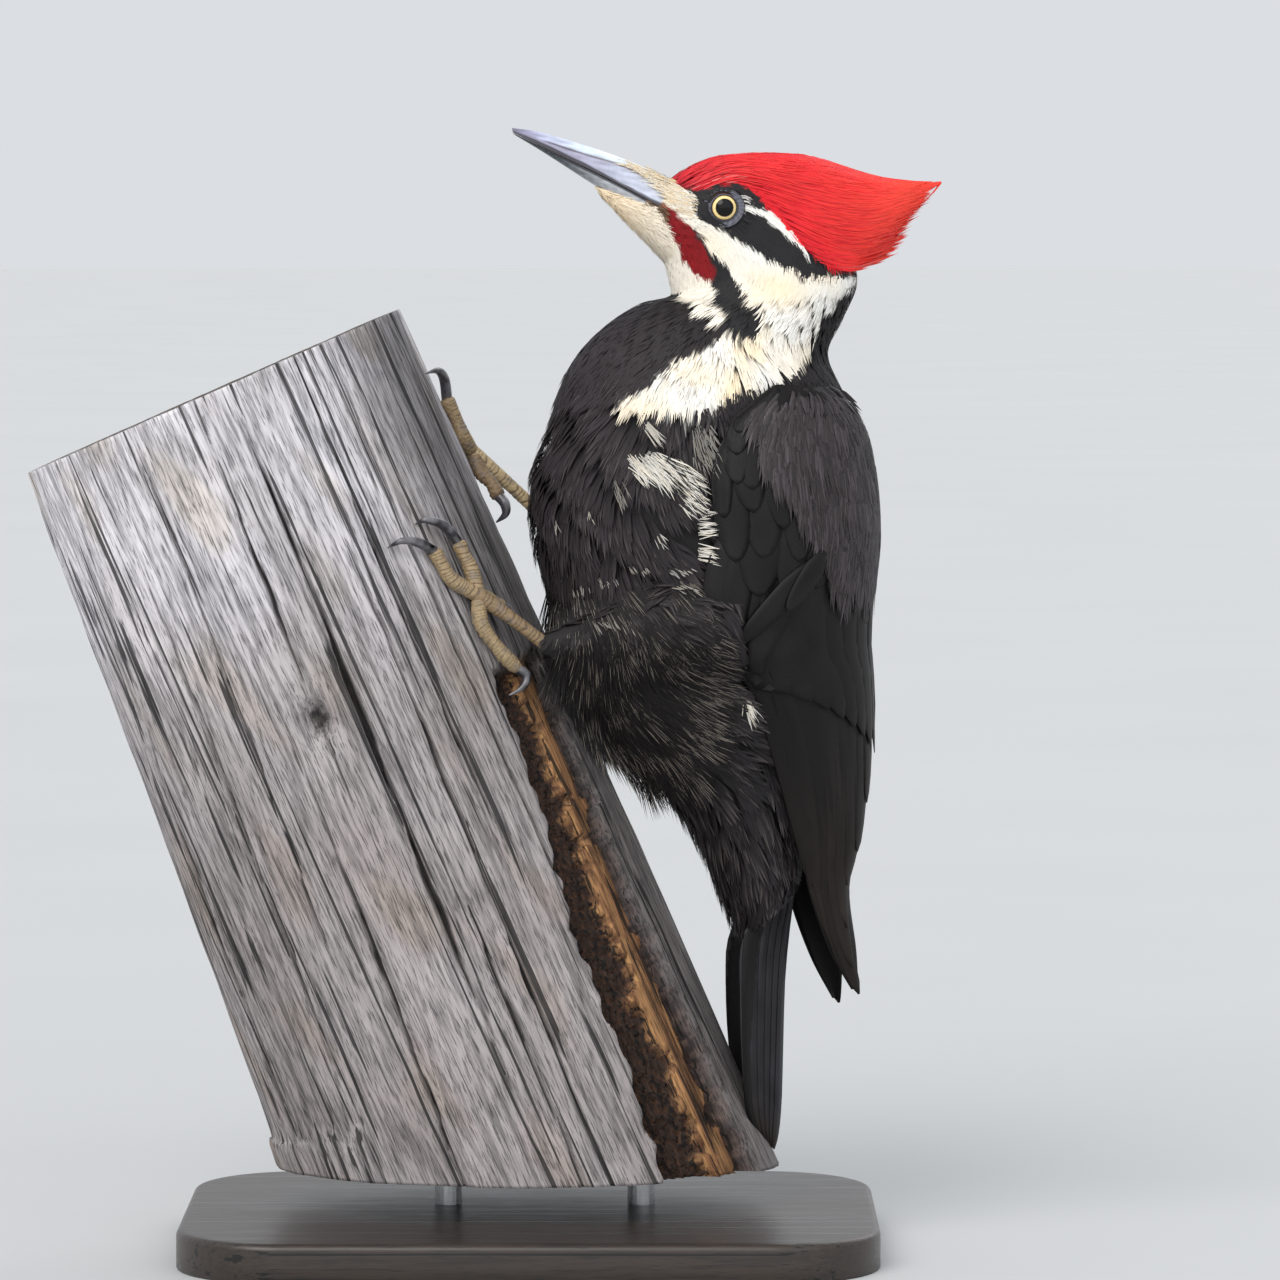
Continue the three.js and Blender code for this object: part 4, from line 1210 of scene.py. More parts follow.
def vane_piece(name, leaves, paint, slot, root_uv):
    """One piece made of the leaves of several calls of vanes(), coloured by `paint`."""
    points, faces, lies, bakes, colours, start = [], [], [], [], [], 0
    for (ring, lie, run), uv in zip(leaves, root_uv):
        faces.append(start + vane_faces(*ring.shape[:3]))
        start += run.size
        points.append(turned(ring).reshape(-1, 3))
        lies.append(lie.reshape(-1, 2))
        bakes.append((uv[:, None, None] + 0.003 * stack([lie[..., 0], run], -1)).reshape(-1, 2))
        colours.append(paint(ring, run, lie[..., 0]).reshape(-1, 3))
    maps = {"OFBake": concatenate(bakes), "Lie": concatenate(lies)}
    colours = clip(concatenate(colours), 0, 1)
    make_piece(name, concatenate(points), faces, VANE_LOOK, slot, (), maps, colours)


# %% The feathers of a wing
# The third colour is the lighter grey-brown painted sheen of the scapular hairs.
WING_BLACK, WING_BROWN, SCAPULAR_SHEEN = srgb(21, 19, 19), srgb(31, 25, 21), srgb(70, 63, 66)


def row_of(count, root_part, tip_part, overs, spread=0):
    """Roots and tips of `count` vanes in a row across the wing."""
    i = linspace(0, 1, count)
    over = mix(*overs, i)
    root = stack([np.full(count, float(root_part)), over], -1)
    return root, stack([mix(*tip_part, i), over + spread * (i - 0.5)], -1)


def wing_rows(random):
    """The rows of a wing from the lowest layer up: roots, tips, widths, lifts, bluntness and power."""
    rows = []
    i = linspace(0, 1, 9)
    root = stack([np.full(9, 5), mix(0.06, 0.8, i)], -1)
    tip = stack([[9, 10.1, 10.75, 10.95, 10.3, 9.6, 8.9, 8.2, 7.5], mix(0.12, 0.84, i)], -1)
    rows.append((root, tip, mix(12.5, 12, i), 0.1 + 1.7 * i, 0.6 + 1.9 * i, 0.35, 1.7))
    root, tip = row_of(8, 2.8, (6.1, 6.9), (0.16, 0.93), 0.05)
    i = linspace(0, 1, 8)
    rows.append((root, tip, np.full(8, 14.5), 1.6 + 0.9 * i, 2.2 + 1.1 * i, 0.78, 2.4))
    root = array([[2.9, 0.03], [2.7, 0.12], [3.9, 0.33], [3.35, 0.42], [3.2, 0.47]])
    tip = array([[4.9, 0.03], [5.35, 0.07], [5.7, 0.04], [4.82, 0.07], [4.16, 0.3]])
    lift = array([1.6, 1.9, 2.6, 3.3, 3.7])
    rows.append((root, tip, array([10, 11, 10, 9, 8.5]), lift, lift + 0.9, 0.3, 1.6))
    for root_part, tip_part, overs, count, width, lift in (
        (2.2, (3.8, 4.3), (0.18, 0.9), 6, 16, 2.9), (1.6, (3.15, 3.6), (0.03, 0.75), 6, 15, 3),
        (1.15, (2.65, 2.9), (0.01, 0.62), 6, 13, 3.1), (0.7, (2.1, 2.35), (0.03, 0.6), 6, 12, 3.2),
        (0.4, (1.6, 1.8), (0.01, 0.55), 6, 12, 3.3), (0.1, (1.15, 1.3), (0, 0.5), 5, 12, 3.4),
    ):
        root, tip = row_of(count, root_part, tip_part, overs)
        root = root + random.normal(0, 0.02, root.shape)
        tip = tip + random.normal(0, [0.12, 0.025], tip.shape)
        widths = width * random.uniform(0.85, 1.2, count)
        lifts = lift + random.uniform(-0.08, 0.08, count)
        rows.append((root, tip, widths, lifts - 0.9, lifts, 0.5, 1.8))
    return rows


def wing_paint(place, run, across):
    """Nearly black, browner towards the tip, with a painted highlight that lightens the end of each vane."""
    base = tint(WING_BLACK, WING_BROWN, 0.8 * step(215, 100, place[..., 2]))
    shades = 1 + 0.25 * soft_noise(place, 14, 71)[..., None]
    each = 1 + 0.2 * soft_noise(place[:, :1, :1] * [3, 3, 3], 14, 72)[..., None]
    # Painted highlight: the last fifth of each vane is lightened by up to 1.25 times.
    return base * shades * each * mix(1, 1.5, 0.5 * step(0.8, 1, run)[..., None])


def wing_front(part, over):
    """1 behind the ragged front edge of the scapular feathers, and 0 before it."""
    edge = interp(part, [0, 0.9, 1.4, 2.2, 2.9, 3.3], [0.02, 0.08, 0.18, 0.33, 0.5, 0.62])
    return step(edge - 0.02, edge + 0.02, over)


def scapular_paint(place, run, random):
    """Greyer than the wing; a share of hairs turns a lighter grey-brown as painted sheen, and each hair is
    darker towards its root as painted shade.
    """
    hairs = random.uniform(0, 1, (len(place), 1, 1))
    # Painted sheen and shade: hairs mix towards the lighter sheen colour, and each darkens to 0.9 at its
    # root.
    return mix(srgb(40, 36, 37), SCAPULAR_SHEEN, hairs**2) * mix(0.9, 1.1, run)


def scapular_size(part, over, random):
    """17 to 25 mm long and 7 mm wide."""
    return mix(17, 25, part / 4) * vary(random, 0.8, 1.2, part), 7 * vary(random, 0.7, 1.2, part)


WING_BOXES = {-1: (0.82, 0.56, 0.08, 0.42), 1: (0.91, 0.56, 0.08, 0.42)}


def make_wing(side, name):
    """One wing: plate, vanes and scapular feathers."""
    random = np.random.default_rng(80 + side)
    surface, box = wing_surface(side), WING_BOXES[side]
    leaves, uvs = [], []
    for root, tip, width, low, high, blunt, power in wing_rows(random):
        leaves.append(vanes(surface, root, tip, width, (low - 2.6, high - 2.6), blunt, power))
        uvs.append(box[:2] + array(box[2:]) * root[:, ::-1] * [0.9, 1 / WING_END])
    vane_piece(name + "_vanes", leaves, wing_paint, "wing", uvs)
    coat(name.replace("wing", "scapulars"), lambda part, over, grow=0: surface(part, over, grow + 1),
         430, ((-0.1, 3.4), (0, 0.97)), 90 + side, scapular_size, (box[0], box[1], box[2] * 6.28, 0.035),
         scapular_paint, strands=8, depth=lambda part: 2 + 0 * part, density=wing_front, rings=4,
         look=SCAPULAR_LOOK, slot="wing", rise=0.01, loose=0.3, swing=0.05)
    part, over = grid(linspace(0.1, 10.8, 60), linspace(0.02, 0.98, 24))
    thin = step(11.2, 9.5, part) * step(0, 0.12, over) * step(1, 0.88, over)
    top, under = surface(part, over, -2.9), surface(part, over, -3 - 1.2 * thin)
    rings = turned(concatenate([top, under[:, ::-1]], 1))
    lie = rings[..., 1:] * [0, 0.1] + [0.3, 0]
    # Painted shade: the plate is wing black at 0.6, darker than the vanes, for the gaps between them.
    shell_piece(name + "_plate", rings, VANE_LOOK, "wing", (name,), lie, WING_BLACK * 0.6)


make_wing(-1, "wing_left")
make_wing(1, "wing_right")

# %% [markdown]
# ## Tail
# Twelve stiff pointed feathers prop the bird. They lie like tiles on a shallow roof, the middle pair on
# top and each pair beside it a little lower and shorter.

# %% Tail
# ridge x, z, edge x, z, half width
TAIL_LINES = [
    [97, 134, 75, 112.6, 17.5], [94.6, 117, 74.2, 104, 20], [92.6, 97, 74, 92, 21.5],
    [91.8, 72, 74.6, 72, 20], [91.2, 52, 76.4, 54, 16], [90, 40, 80.4, 43, 10],
    [88.4, 34.4, 86.4, 36, 3],
]


def tail_surface(part, across, grow=0):
    """The roof of the tail: from ridge to edge by |across|^1.5, and across · half to the side."""
    ridge_x, ridge_z, edge_x, edge_z, half = columns_along(TAIL_LINES, part)
    fall = np.abs(across) ** 1.5
    x = mix(ridge_x, edge_x, fall) + grow * (1 - 0.35 * np.abs(across))
    return stack([x, across * (half + 0.4 * grow), mix(ridge_z, edge_z, fall)], -1)


def tail_paint(place, run, across):
    """Black, browner at the worn ends, with a bluish grey sheen painted as a paler rim along each feather's
    edges.
    """
    base = tint(srgb(34, 33, 36), srgb(44, 38, 36), step(0.6, 1, run))
    rim = step(0.38, 0.5, np.abs(across - 0.5))[..., None]
    # Painted sheen: the edges of each feather are lightened by up to 1.5 times.
    return base * (1 + 0.25 * soft_noise(place, 12, 73)[..., None]) * mix(1, 1.5, rim)


def make_tail():
    """The twelve feathers, and a plate under them that closes the roof."""
    across = np.outer([-1, 1], [0.93, 0.76, 0.59, 0.42, 0.25, 0.09]).ravel()
    root = stack([np.zeros(12), across * 0.9], -1)
    tip = stack([np.tile([4.7, 5.1, 5.4, 5.65, 5.85, 6], 2), across * 0.86], -1)
    layer = np.tile(linspace(-2.6, 0.2, 6), 2)
    width = np.tile([8.5, 9, 9.5, 10, 10.5, 10.5], 2)
    leaves = vanes(tail_surface, root, tip, width, (layer - 0.5, layer), 0.5, 1.5, 0.03, 16)
    uv = stack([0.5 + 0.3 * across, 0.985 + 0 * across], -1)
    vane_piece("tail_vanes", [leaves], tail_paint, "plumage", [uv])
    part, across = grid(linspace(0.05, 5.6, 40), linspace(-0.93, 0.93, 25))
    top, under = tail_surface(part, across, -2.4), tail_surface(part, across, -3.4)
    rings = turned(concatenate([top, under[:, ::-1]], 1))
    lie = rings[..., 1:] / [8, 10]
    # Painted shade: the plate is soot at 0.8, darker than the feathers, for the gaps between them.
    shell_piece("tail_plate", rings, VANE_LOOK, "plumage", ("tail",), lie, SOOT * 0.8)


make_tail()

# %% [markdown]
# ## Flank and white marks
# Hair-like plumes cover thigh and belly as one round mass. Above them the white underwing shows as
# loose fibres, and thin pale tips stand in rows on the black.

# %% The flank
FLANK_BOXES = {-1: (0.82, 0.18, 0.08, 0.14), 1: (0.91, 0.18, 0.08, 0.14)}


def flank_side(side, label):
    """How far out body, thigh and wing reach together on one side, smoothed to one mass."""
    thigh = thigh_surface(label)
    wing = measure_sides(wing_surface(side), WING_END, (0, 1))
    leg = measure_sides(lambda part, angle: turned(thigh(part, angle), -BODY_TURN), 3, ROUND)
    reach = averaged(np.max([BODY_REACH, wing, leg], 0), 14)
    reach = maximum(reach, BODY_REACH)
    return lambda x, z: reach_at(reach, x, z)


def side_fans(x, z, length, aim, spread, strands, outside, lifts, side, random):
    """Fans of strands, set apart and turned by up to `spread`, their lengths and which fan each belongs
    to."""
    each = np.repeat(arange(len(x)), strands)
    fan = np.tile(linspace(-1, 1, strands), len(x)) + random.normal(0, 0.15, len(each))
    turn = aim(x, z)[each] + spread * fan
    away = (0.09 * fan * length[each], 0.1 * random.normal(0, 1, len(each)))
    long = length[each] * (1 - 0.25 * fan**2) * vary(random, 0.85, 1.12, each)
    px, pz = x[each] - sin(turn) * away[0], z[each] + cos(turn) * away[0] + away[1]
    low, high = (np.broadcast_to(v, len(x))[each] for v in lifts)
    high = high + random.normal(0, 0.25, len(each))
    lines = side_strands(px, pz, long, lambda u, v: turn, outside, (low, high), side, 3)
    return *lines, long, each


def make_flank(side, label, outside):
    """The plumes of one flank: near-black strands, some lighter brown-grey as painted sheen, each darker
    towards its root as painted shade, a fifth of them with pale fine ends.
    """
    random = np.random.default_rng(300 + side)
    x, z = random.uniform(8, 66, 1500), random.uniform(172, 256, 1500)
    front = interp(z, [172, 184, 202, 220, 242], [40, 24, 10, 6, 4])
    rear = interp(z, [172, 180, 190, 205, 220, 242], [46, 52, 58, 57, 54, 48])
    few = step(258, 224, z) > random.random(1500)
    chosen = np.flatnonzero((x > front) & (x < rear) & few)[:500]
    x, z = x[chosen], z[chosen]
    length = vary(random, 15, 22, x)

    def aim(px, pz):
        flow = combed(FLOW, px, pz, 9)[0]
        return np.arctan2(flow[..., 1], flow[..., 0]) + random.normal(0, 0.07, px.shape)

    top = step(256, 218, z)
    lifts = (-3.2 + 1.2 * top, mix(-0.6, 1 + vary(random, 0, 1.6, x), top))
    middle, normal, long, each = side_fans(x, z, length, aim, 0.2, 12, outside, lifts, side, random)
    run = blade_run(3)
    # Painted sheen: strands range from near black to a lighter brown-grey.
    base = mix(srgb(24, 22, 23), srgb(39, 35, 34), random.random((len(each), 1, 1)) ** 1.5)
    tipped = (random.random(len(x)) < 0.22)[each] * (random.random(len(each)) < 0.7)
    pale = tipped[:, None, None] * step(0.5, 0.9, run) * 0.75
    # Painted shade: strands darken to 0.6 at their roots.
    colour = mix(base * mix(0.6, 1.1, run), srgb(176, 166, 154), pale)
    width = vary(random, 0.25, 0.45, each)
    root_uv = side_map(middle[:, 0, 0], middle[:, 0, 2], FLANK_BOXES[side])
    tuft_piece("flank_" + label, middle, normal, (long, width), root_uv, colour, DOWN_LOOK, "plumage")


# %% White marks
# x, z, how far roots lie apart in x and z, direction in degrees, length, count, shade
WHITE_MARKS = [
    [33, 286, 2.5, 2.5, -50, 11, 36, 1], [40, 286, 3, 3, -45, 12, 60, 1], [47, 283, 3, 4, -38, 11, 60, 1],
    [45, 284, 6, 4, -42, 12, 60, 0.04], [50, 274, 2, 4, -40, 9, 36, 0.95], [50, 274, 2, 4, -40, 10, 24, 0.04],
    [55.5, 264, 0.5, 4.5, 8, 5.5, 24, 1], [55.5, 255, 0.6, 4.5, -4, 6, 20, 1],
    [37, 299, 1, 1.4, -48, 9, 22, 0.7], [57, 293, 3.5, 7, -70, 8, 70, 0.3], [28, 276, 2, 3, -75, 6, 16, 0.3],
    [7, 262, 0.4, 2, -85, 3.5, 3, 0.5], [17, 268, 0.7, 2, -80, 4, 4, 0.5], [41, 258, 1.2, 2, -60, 4, 7, 0.7],
    [15, 240, 3, 1, -80, 3, 8, 0.4], [24, 243, 4, 1, -70, 3, 10, 0.4], [34, 248, 3, 1, -60, 3, 9, 0.45],
    [48, 247, 5, 1.2, -35, 3, 14, 0.45], [50, 241, 4, 1, -30, 3, 9, 0.4], [25, 228, 7, 1, -60, 3, 12, 0.3],
    [73, 200, 0.6, 2.5, -65, 8, 20, 1],
]


def make_white_marks(side, label, outside):
    """The loose white fibres and pale tips of one side, each row of WHITE_MARKS a group."""
    random = np.random.default_rng(320 + side)
    table = np.repeat(WHITE_MARKS, array(WHITE_MARKS)[:, 6].astype(int), axis=0)
    x, z, wide, high, aim, length, _, shade = table.T
    x, z = x + wide * vary(random, -1, 1, x), z + high * vary(random, -1, 1, x)
    turn = np.radians(aim) + random.normal(0, 0.16, len(x))
    length = length * vary(random, 0.7, 1.2, x)
    lifts = (-0.6, 1.2 + vary(random, 0, 1, x))
    middle, normal = side_strands(x, z, length, lambda u, v: turn, outside, lifts, side)
    tone = (shade * vary(random, 0.85, 1.05, x))[:, None, None]
    colour = mix(WHITE, CREAM, random.random((len(x), 1, 1)) * 0.5) * tone
    # Painted shade: each fibre darkens to 0.75 at its root.
    colour = colour * mix(0.75, 1, blade_run(4))
    width = vary(random, 0.25, 0.5, x)
    root_uv = side_map(x, z, FLANK_BOXES[side])
    tuft_piece("white_marks_" + label, middle, normal, (length, width), root_uv, colour, DOWN_LOOK, "plumage")


for side, label in ((-1, "left"), (1, "right")):
    outside = flank_side(side, label)
    make_flank(side, label, outside)
    make_white_marks(side, label, outside)

# %% [markdown]
# ## Bill
# A chisel of two halves, each a closed surface between ridge line and cutting edge. A groove is pressed
# in along the upper half; the colours follow the same lines, from a pale ridge, lightened as a painted
# highlight, to a nearly black edge.

# %% The bill's shape
# ridge x, z, cutting edge x, z, lower ridge x, z, half width
BILL_LINES = [
    [-6.6, 403.4, -6.2, 401.6, -5.2, 400.6, 1.1], [5.4, 401.4, 5.4, 395.8, 5.4, 394.2, 2.7],
    [25.2, 395.4, 25.2, 386.2, 25.2, 381.6, 4.9], [39.6, 390, 39.6, 378.6, 39.6, 373.3, 6.3],
    [54, 383.4, 52, 372, 50, 367, 7],
]


def groove_height(part):
    """Where the groove lies between the edge (0) and the ridge (1)."""
    return mix(0.48, 0.76, step(0.9, 2.8, part))


def bill_half(upper, part, around):
    """Points of one half of the bill. `around` goes from -1 at the left cutting edge over the ridge, 0,
    to 1; the width is (1 - height^p)^(1/p) of the half."""
    ridge_x, ridge_z, edge_x, edge_z, low_x, low_z, half = columns_along(BILL_LINES, part)
    height = 1 - np.abs(around)
    power = 1.35 if upper else 1.8
    width = half * (1 if upper else 0.9) * (1 - height**power) ** (1 / power)
    if upper:
        from_groove = height - groove_height(part)
        run = step(0.75, 1.2, part) * step(3.5, 3.1, part) * np.sign(width)
        width = width + (0.3 * bell(from_groove - 0.1, 0.07) - 0.42 * bell(from_groove, 0.045)) * run
        lip, gap, end_x, end_z = 0.18 * bell(height, 0.05), 0.16, ridge_x, ridge_z
    else:
        lip, gap, end_x, end_z = 0.12 * bell(height, 0.08), -0.1, low_x, low_z
    x, z = mix(edge_x, end_x, height), mix(edge_z + gap, end_z, height)
    return stack([x, np.sign(around) * (width + lip), z], -1)


def bill_paint(upper, part, around, points):
    """Colours of the horn along the bill and up its side; the pale strip above the groove of the upper half
    is a painted highlight.
    """
    height = 1 - np.abs(around)
    dark, near_tip = srgb(38, 32, 38), step(1.15, 0, part)
    streak = 0.5 + 0.5 * soft_noise(points * array([0.12, 1, 1]), 1.6, 51 + upper)
    if upper:
        flank = tint(srgb(150, 148, 170), srgb(200, 206, 222), step(1.2, 3.4, part))
        # Painted highlight: the pale bluish white strip between the groove and the ridge.
        ridge = tint(srgb(176, 176, 206), srgb(214, 226, 240), step(0.5, 2, part))
        line = groove_height(part)
        colour = tint(flank, ridge, step(line - 0.02, line + 0.06, height))
        furrow = bell(height - line, 0.03) * step(0.8, 1.3, part) * step(3.5, 3.2, part)
        colour = tint(colour, srgb(92, 66, 50), 0.85 * furrow)
        nostril = bell(height - line + 0.02, 0.06) * step(2.45, 2.9, part)
        colour = tint(colour, srgb(170, 116, 72), 0.7 * nostril)
        edge = mix(0.34, 0.1, step(0.2, 2.6, part)) + 0.03 * (streak - 0.5)
        colour = tint(colour, dark, step(edge + 0.05, edge - 0.04, height) * 0.94)
        colour = tint(colour, srgb(70, 66, 82), near_tip * 0.72)
    else:
        colour = tint(srgb(64, 74, 80), srgb(186, 190, 196), step(1.1, 2.3, part))
        keel = step(0.55, 0.9, height) * step(1.8, 2.6, part)
        colour = tint(colour, srgb(212, 206, 190), keel * 0.6)
        edge = mix(0.3, 0.14, step(0.5, 2.8, part))
        colour = tint(colour, dark, step(edge + 0.05, edge - 0.04, height) * 0.85)
        colour = tint(colour, srgb(48, 46, 52), near_tip * 0.8)
    colour = colour * mix(0.86, 1.12, streak)[..., None]
    specks = soft_noise(points, 1.3, 55, 12) > 2.05
    specks = specks * step(1.45, 0.9, part) * step(0.6, 0.3, height)
    return tint(colour, srgb(196, 182, 168), 0.8 * specks)


def bill_material():
    """Horn: painted colour, long fine streaks, shine that is duller in the streaks."""
    material, tree, shader = new_material("bill horn", Coat_Weight=0.25, Coat_Roughness=0.25)
    given = {"Vector": tree.place(), "Colour": tree.paint()}
    tree.link(tree.use(MOTTLE, given, Scale=500, Amount=0.16)["Colour"], shader["Base Color"])
    lie = tree.add("UVMap", uv_map="Lie")[0]
    grain = tree.add("TexNoise", {"Vector": lie}, Scale=1, Detail=4, Distortion=0.2)["Fac"]
    tree.link(tree.times(grain, 0.3, 0.2), shader["Roughness"])
    tree.bump(shader, grain, 0.35, 0.0002)
    return material


BILL_LOOK = bill_material()


def make_bill(upper, node):
    """One half of the bill, closed along the cutting edges by a floor, painted at 0.4 as shade in the slit of
    the bill.
    """
    part, around = grid(linspace(0, len(BILL_LINES) - 1.05, 150), linspace(-1, 1, 73))
    points = bill_half(upper, part, around)
    colour = bill_paint(upper, part, around, points)
    lie = stack([around * 26, part * 1.6], -1)
    shell = concatenate([points, points[:, [-1, 0]] * [1, 0.5, 1]], 1)
    # Painted shade: the floor between the cutting edges is darkened to 0.4.
    colour = concatenate([colour, colour[:, [-1, 0]] * 0.4], 1)
    lie = concatenate([lie, lie[:, [-1, 0]]], 1)
    shell_piece(node + "_horn", turned(shell), BILL_LOOK, "bill", (node,), lie, colour, flip=not upper)


make_bill(True, "bill_upper")
make_bill(False, "bill_lower")

# %% [markdown]
# ## Eyes
# Each eye is a whole ball in a ring of bare wrinkled lid. The iris is drawn on a polar map: a black
# pupil, a pale yellow ring with fine spokes, and a dark rim. A clear coat gives the wet shine.

# %% Eyes
EYE_RADIUS, IRIS_RADIUS, PUPIL_RADIUS, LID_RADIUS = 6.2, 4.35, 3.3, 7.2


def eye_material():
    """The iris, from a polar map whose X is the distance from the axis in mm."""
    coat_values = dict(Coat_Weight=0.35, Coat_Roughness=0.02, Specular_IOR_Level=0.1)
    material, tree, shader = new_material("eye", **coat_values)
    polar = tree.add("UVMap", uv_map="Polar")[0]
    spokes = tree.add("TexNoise", {"Vector": polar}, Scale=1, Detail=3)["Fac"]
    wavy = tree.times(spokes, 0.35, tree.add("SeparateXYZ", {"Vector": polar})["X"])
    pupil, iris = PUPIL_RADIUS / 6, IRIS_RADIUS / 6
    look = tree.ramp(tree.math("DIVIDE", wavy, 6), [
        (pupil, srgb(6, 5, 6)), (pupil + 0.02, srgb(170, 138, 76)), (pupil + 0.05, srgb(250, 230, 172)),
        (iris - 0.005, srgb(240, 206, 134)), (iris + 0.02, srgb(40, 32, 26)),
    ])
    tree.link(tree.shade(look, tree.times(spokes, 0.5, 0.75)), shader["Base Color"])
    tree.link(tree.times(spokes, 0.15, 0.08), shader["Roughness"])
    return material


EYE_LOOK = eye_material()
LID_LOOK = painted_material("bare lid", 900, 0.4, relief=0.6, Roughness=0.5)


def make_eye(side, label):
    """The ball from pole to pole, and the lid, whose height is the head's surface plus a rim."""
    polar, turn = grid(linspace(0, pi, 60), circle(64))
    radius = EYE_RADIUS + 0.28 * bell(polar, 0.55)
    off, out = sin(polar) * radius, side * (EYE_DEPTH + cos(polar) * radius)
    points = stack([EYE_X + off * cos(turn), out, EYE_Z + off * sin(turn)], -1)
    off = np.where(polar > pi / 2, 9, off)
    maps = {"Polar": stack([off, 6 * cos(turn) + 6 * sin(2 * turn)], -1)}
    faces = [grid_faces(60, 64)[:, ::side]]
    make_piece(f"eye_{label}_ball", turned(points), faces, EYE_LOOK, "eye", ("eye_" + label,), maps)

    share, turn = grid(linspace(0, 1, 26), circle(120))
    wrinkle = 0.08 * sin(23 * turn + 3 * sin(3 * turn) + 5 * share)
    wrinkle = wrinkle + 0.06 * sin(41 * turn - 9 * share)
    off = mix(IRIS_RADIUS - 0.05, LID_RADIUS + 0.5, share)
    oval = 1 + 0.05 * cos(2 * (turn - 0.3))
    x, z = EYE_X + off * oval * cos(turn), EYE_Z + off * sin(turn)
    ball = EYE_DEPTH + np.sqrt(maximum(EYE_RADIUS**2 - off**2, 0))
    rim = 0.45 * bell(share - 0.16, 0.1) + 0.2 * sin(14 * share) ** 2
    folds = wrinkle * step(0.15, 0.5, share) * step(1, 0.8, share)
    face = reach_at(BODY_REACH, x, z) - 0.5
    height = mix(ball - 0.1, face, step(0.1, 0.5, share)) + rim + folds - 1.2 * step(0.8, 1, share)
    points = stack([x, side * height, z], -1)
    # Painted highlight and shade: a lighter bluish grey ring near the eye, and the wrinkles lighter on their
    # folds and darker in their grooves.
    lit = step(0.06, 0.2, share) * step(1, 0.55, share)
    colour = tint(srgb(34, 33, 36), srgb(92, 93, 104), lit) * (1 + 3 * wrinkle[..., None])
    under = points - [0, side * 0.8, 0]
    shell = turned(concatenate([points, under[::-1], points[:1]]))
    colour = concatenate([colour, colour[::-1], colour[:1]])
    shell_piece("lid_" + label, shell, LID_LOOK, "head", (), None, colour, False, side < 0)


make_eye(-1, "left")
make_eye(1, "right")

# %% [markdown]
# ## Feet
# Shanks and toes are tubes along paths on the post. Horny plates ring their upper side like shingles,
# so the radius follows a saw-tooth; small round pads lie below. Claws are tapered hooks.

# %% The paths of the feet
# For each leg the hock in mm, and the ankle as height, angle and lift on the post; then, in
# the same way, the knuckles and the claw of each toe. Toe 1 is the small hind toe, 2 and 3
# point up the post and 4 is the long outer toe.
LEGS = {
    "left": ([9, -28, 217.5], [202, 0.665, 4.6], [
        ([[200.5, 0.6, 3], [197.5, 0.54, 2.3], [195, 0.5, 2]], [[193, 0.475, 2.6], [191, 0.46, 1]]),
        ([[211.5, 0.62, 2.9], [217, 0.625, 3], [221.5, 0.62, 2.7]],
         [[229.5, 0.69, 4.8], [234, 0.765, 4.2], [234.2, 0.8, 0.6]]),
        ([[210.5, 0.75, 2.9], [217, 0.775, 3.1], [222.5, 0.78, 2.8]],
         [[228, 0.87, 4.8], [231, 0.95, 4.4], [230.8, 1.01, 0.5]]),
        ([[193, 0.7, 3], [184.5, 0.675, 2.8], [177.5, 0.64, 2.9], [172.5, 0.6, 2.8]],
         [[168.5, 0.59, 4.4], [165.5, 0.63, 3.2], [165, 0.69, 0.5]]),
    ]),
    "right": ([7.5, 25.5, 259.5], [247.5, -0.2, 4.4], [
        ([[246, -0.34, 3.2], [241, -0.42, 2.3], [236, -0.48, 2]], [[233, -0.51, 2.6], [230.5, -0.53, 1]]),
        ([[253, -0.3, 2.9], [260, -0.4, 3], [266, -0.46, 2.6]],
         [[273, -0.5, 4.6], [277, -0.56, 4], [279, -0.64, 0.6]]),
        ([[254, -0.14, 2.9], [261, -0.13, 3], [269, -0.11, 2.8]],
         [[276, -0.08, 4.8], [280, 0.01, 4.2], [281, 0.12, 0.5]]),
        ([[240, -0.15, 3.6], [235, -0.1, 5], [230, -0.06, 5.2]],
         [[226.5, -0.03, 6.2], [223, -0.02, 5], [221.5, -0.02, 0.6]]),
    ]),
}


def post_normal(place):
    """The direction straight off the bark at a place given as height, angle and lift."""
    return unit(on_post(*place[:2], 1) - on_post(*place[:2], 0))


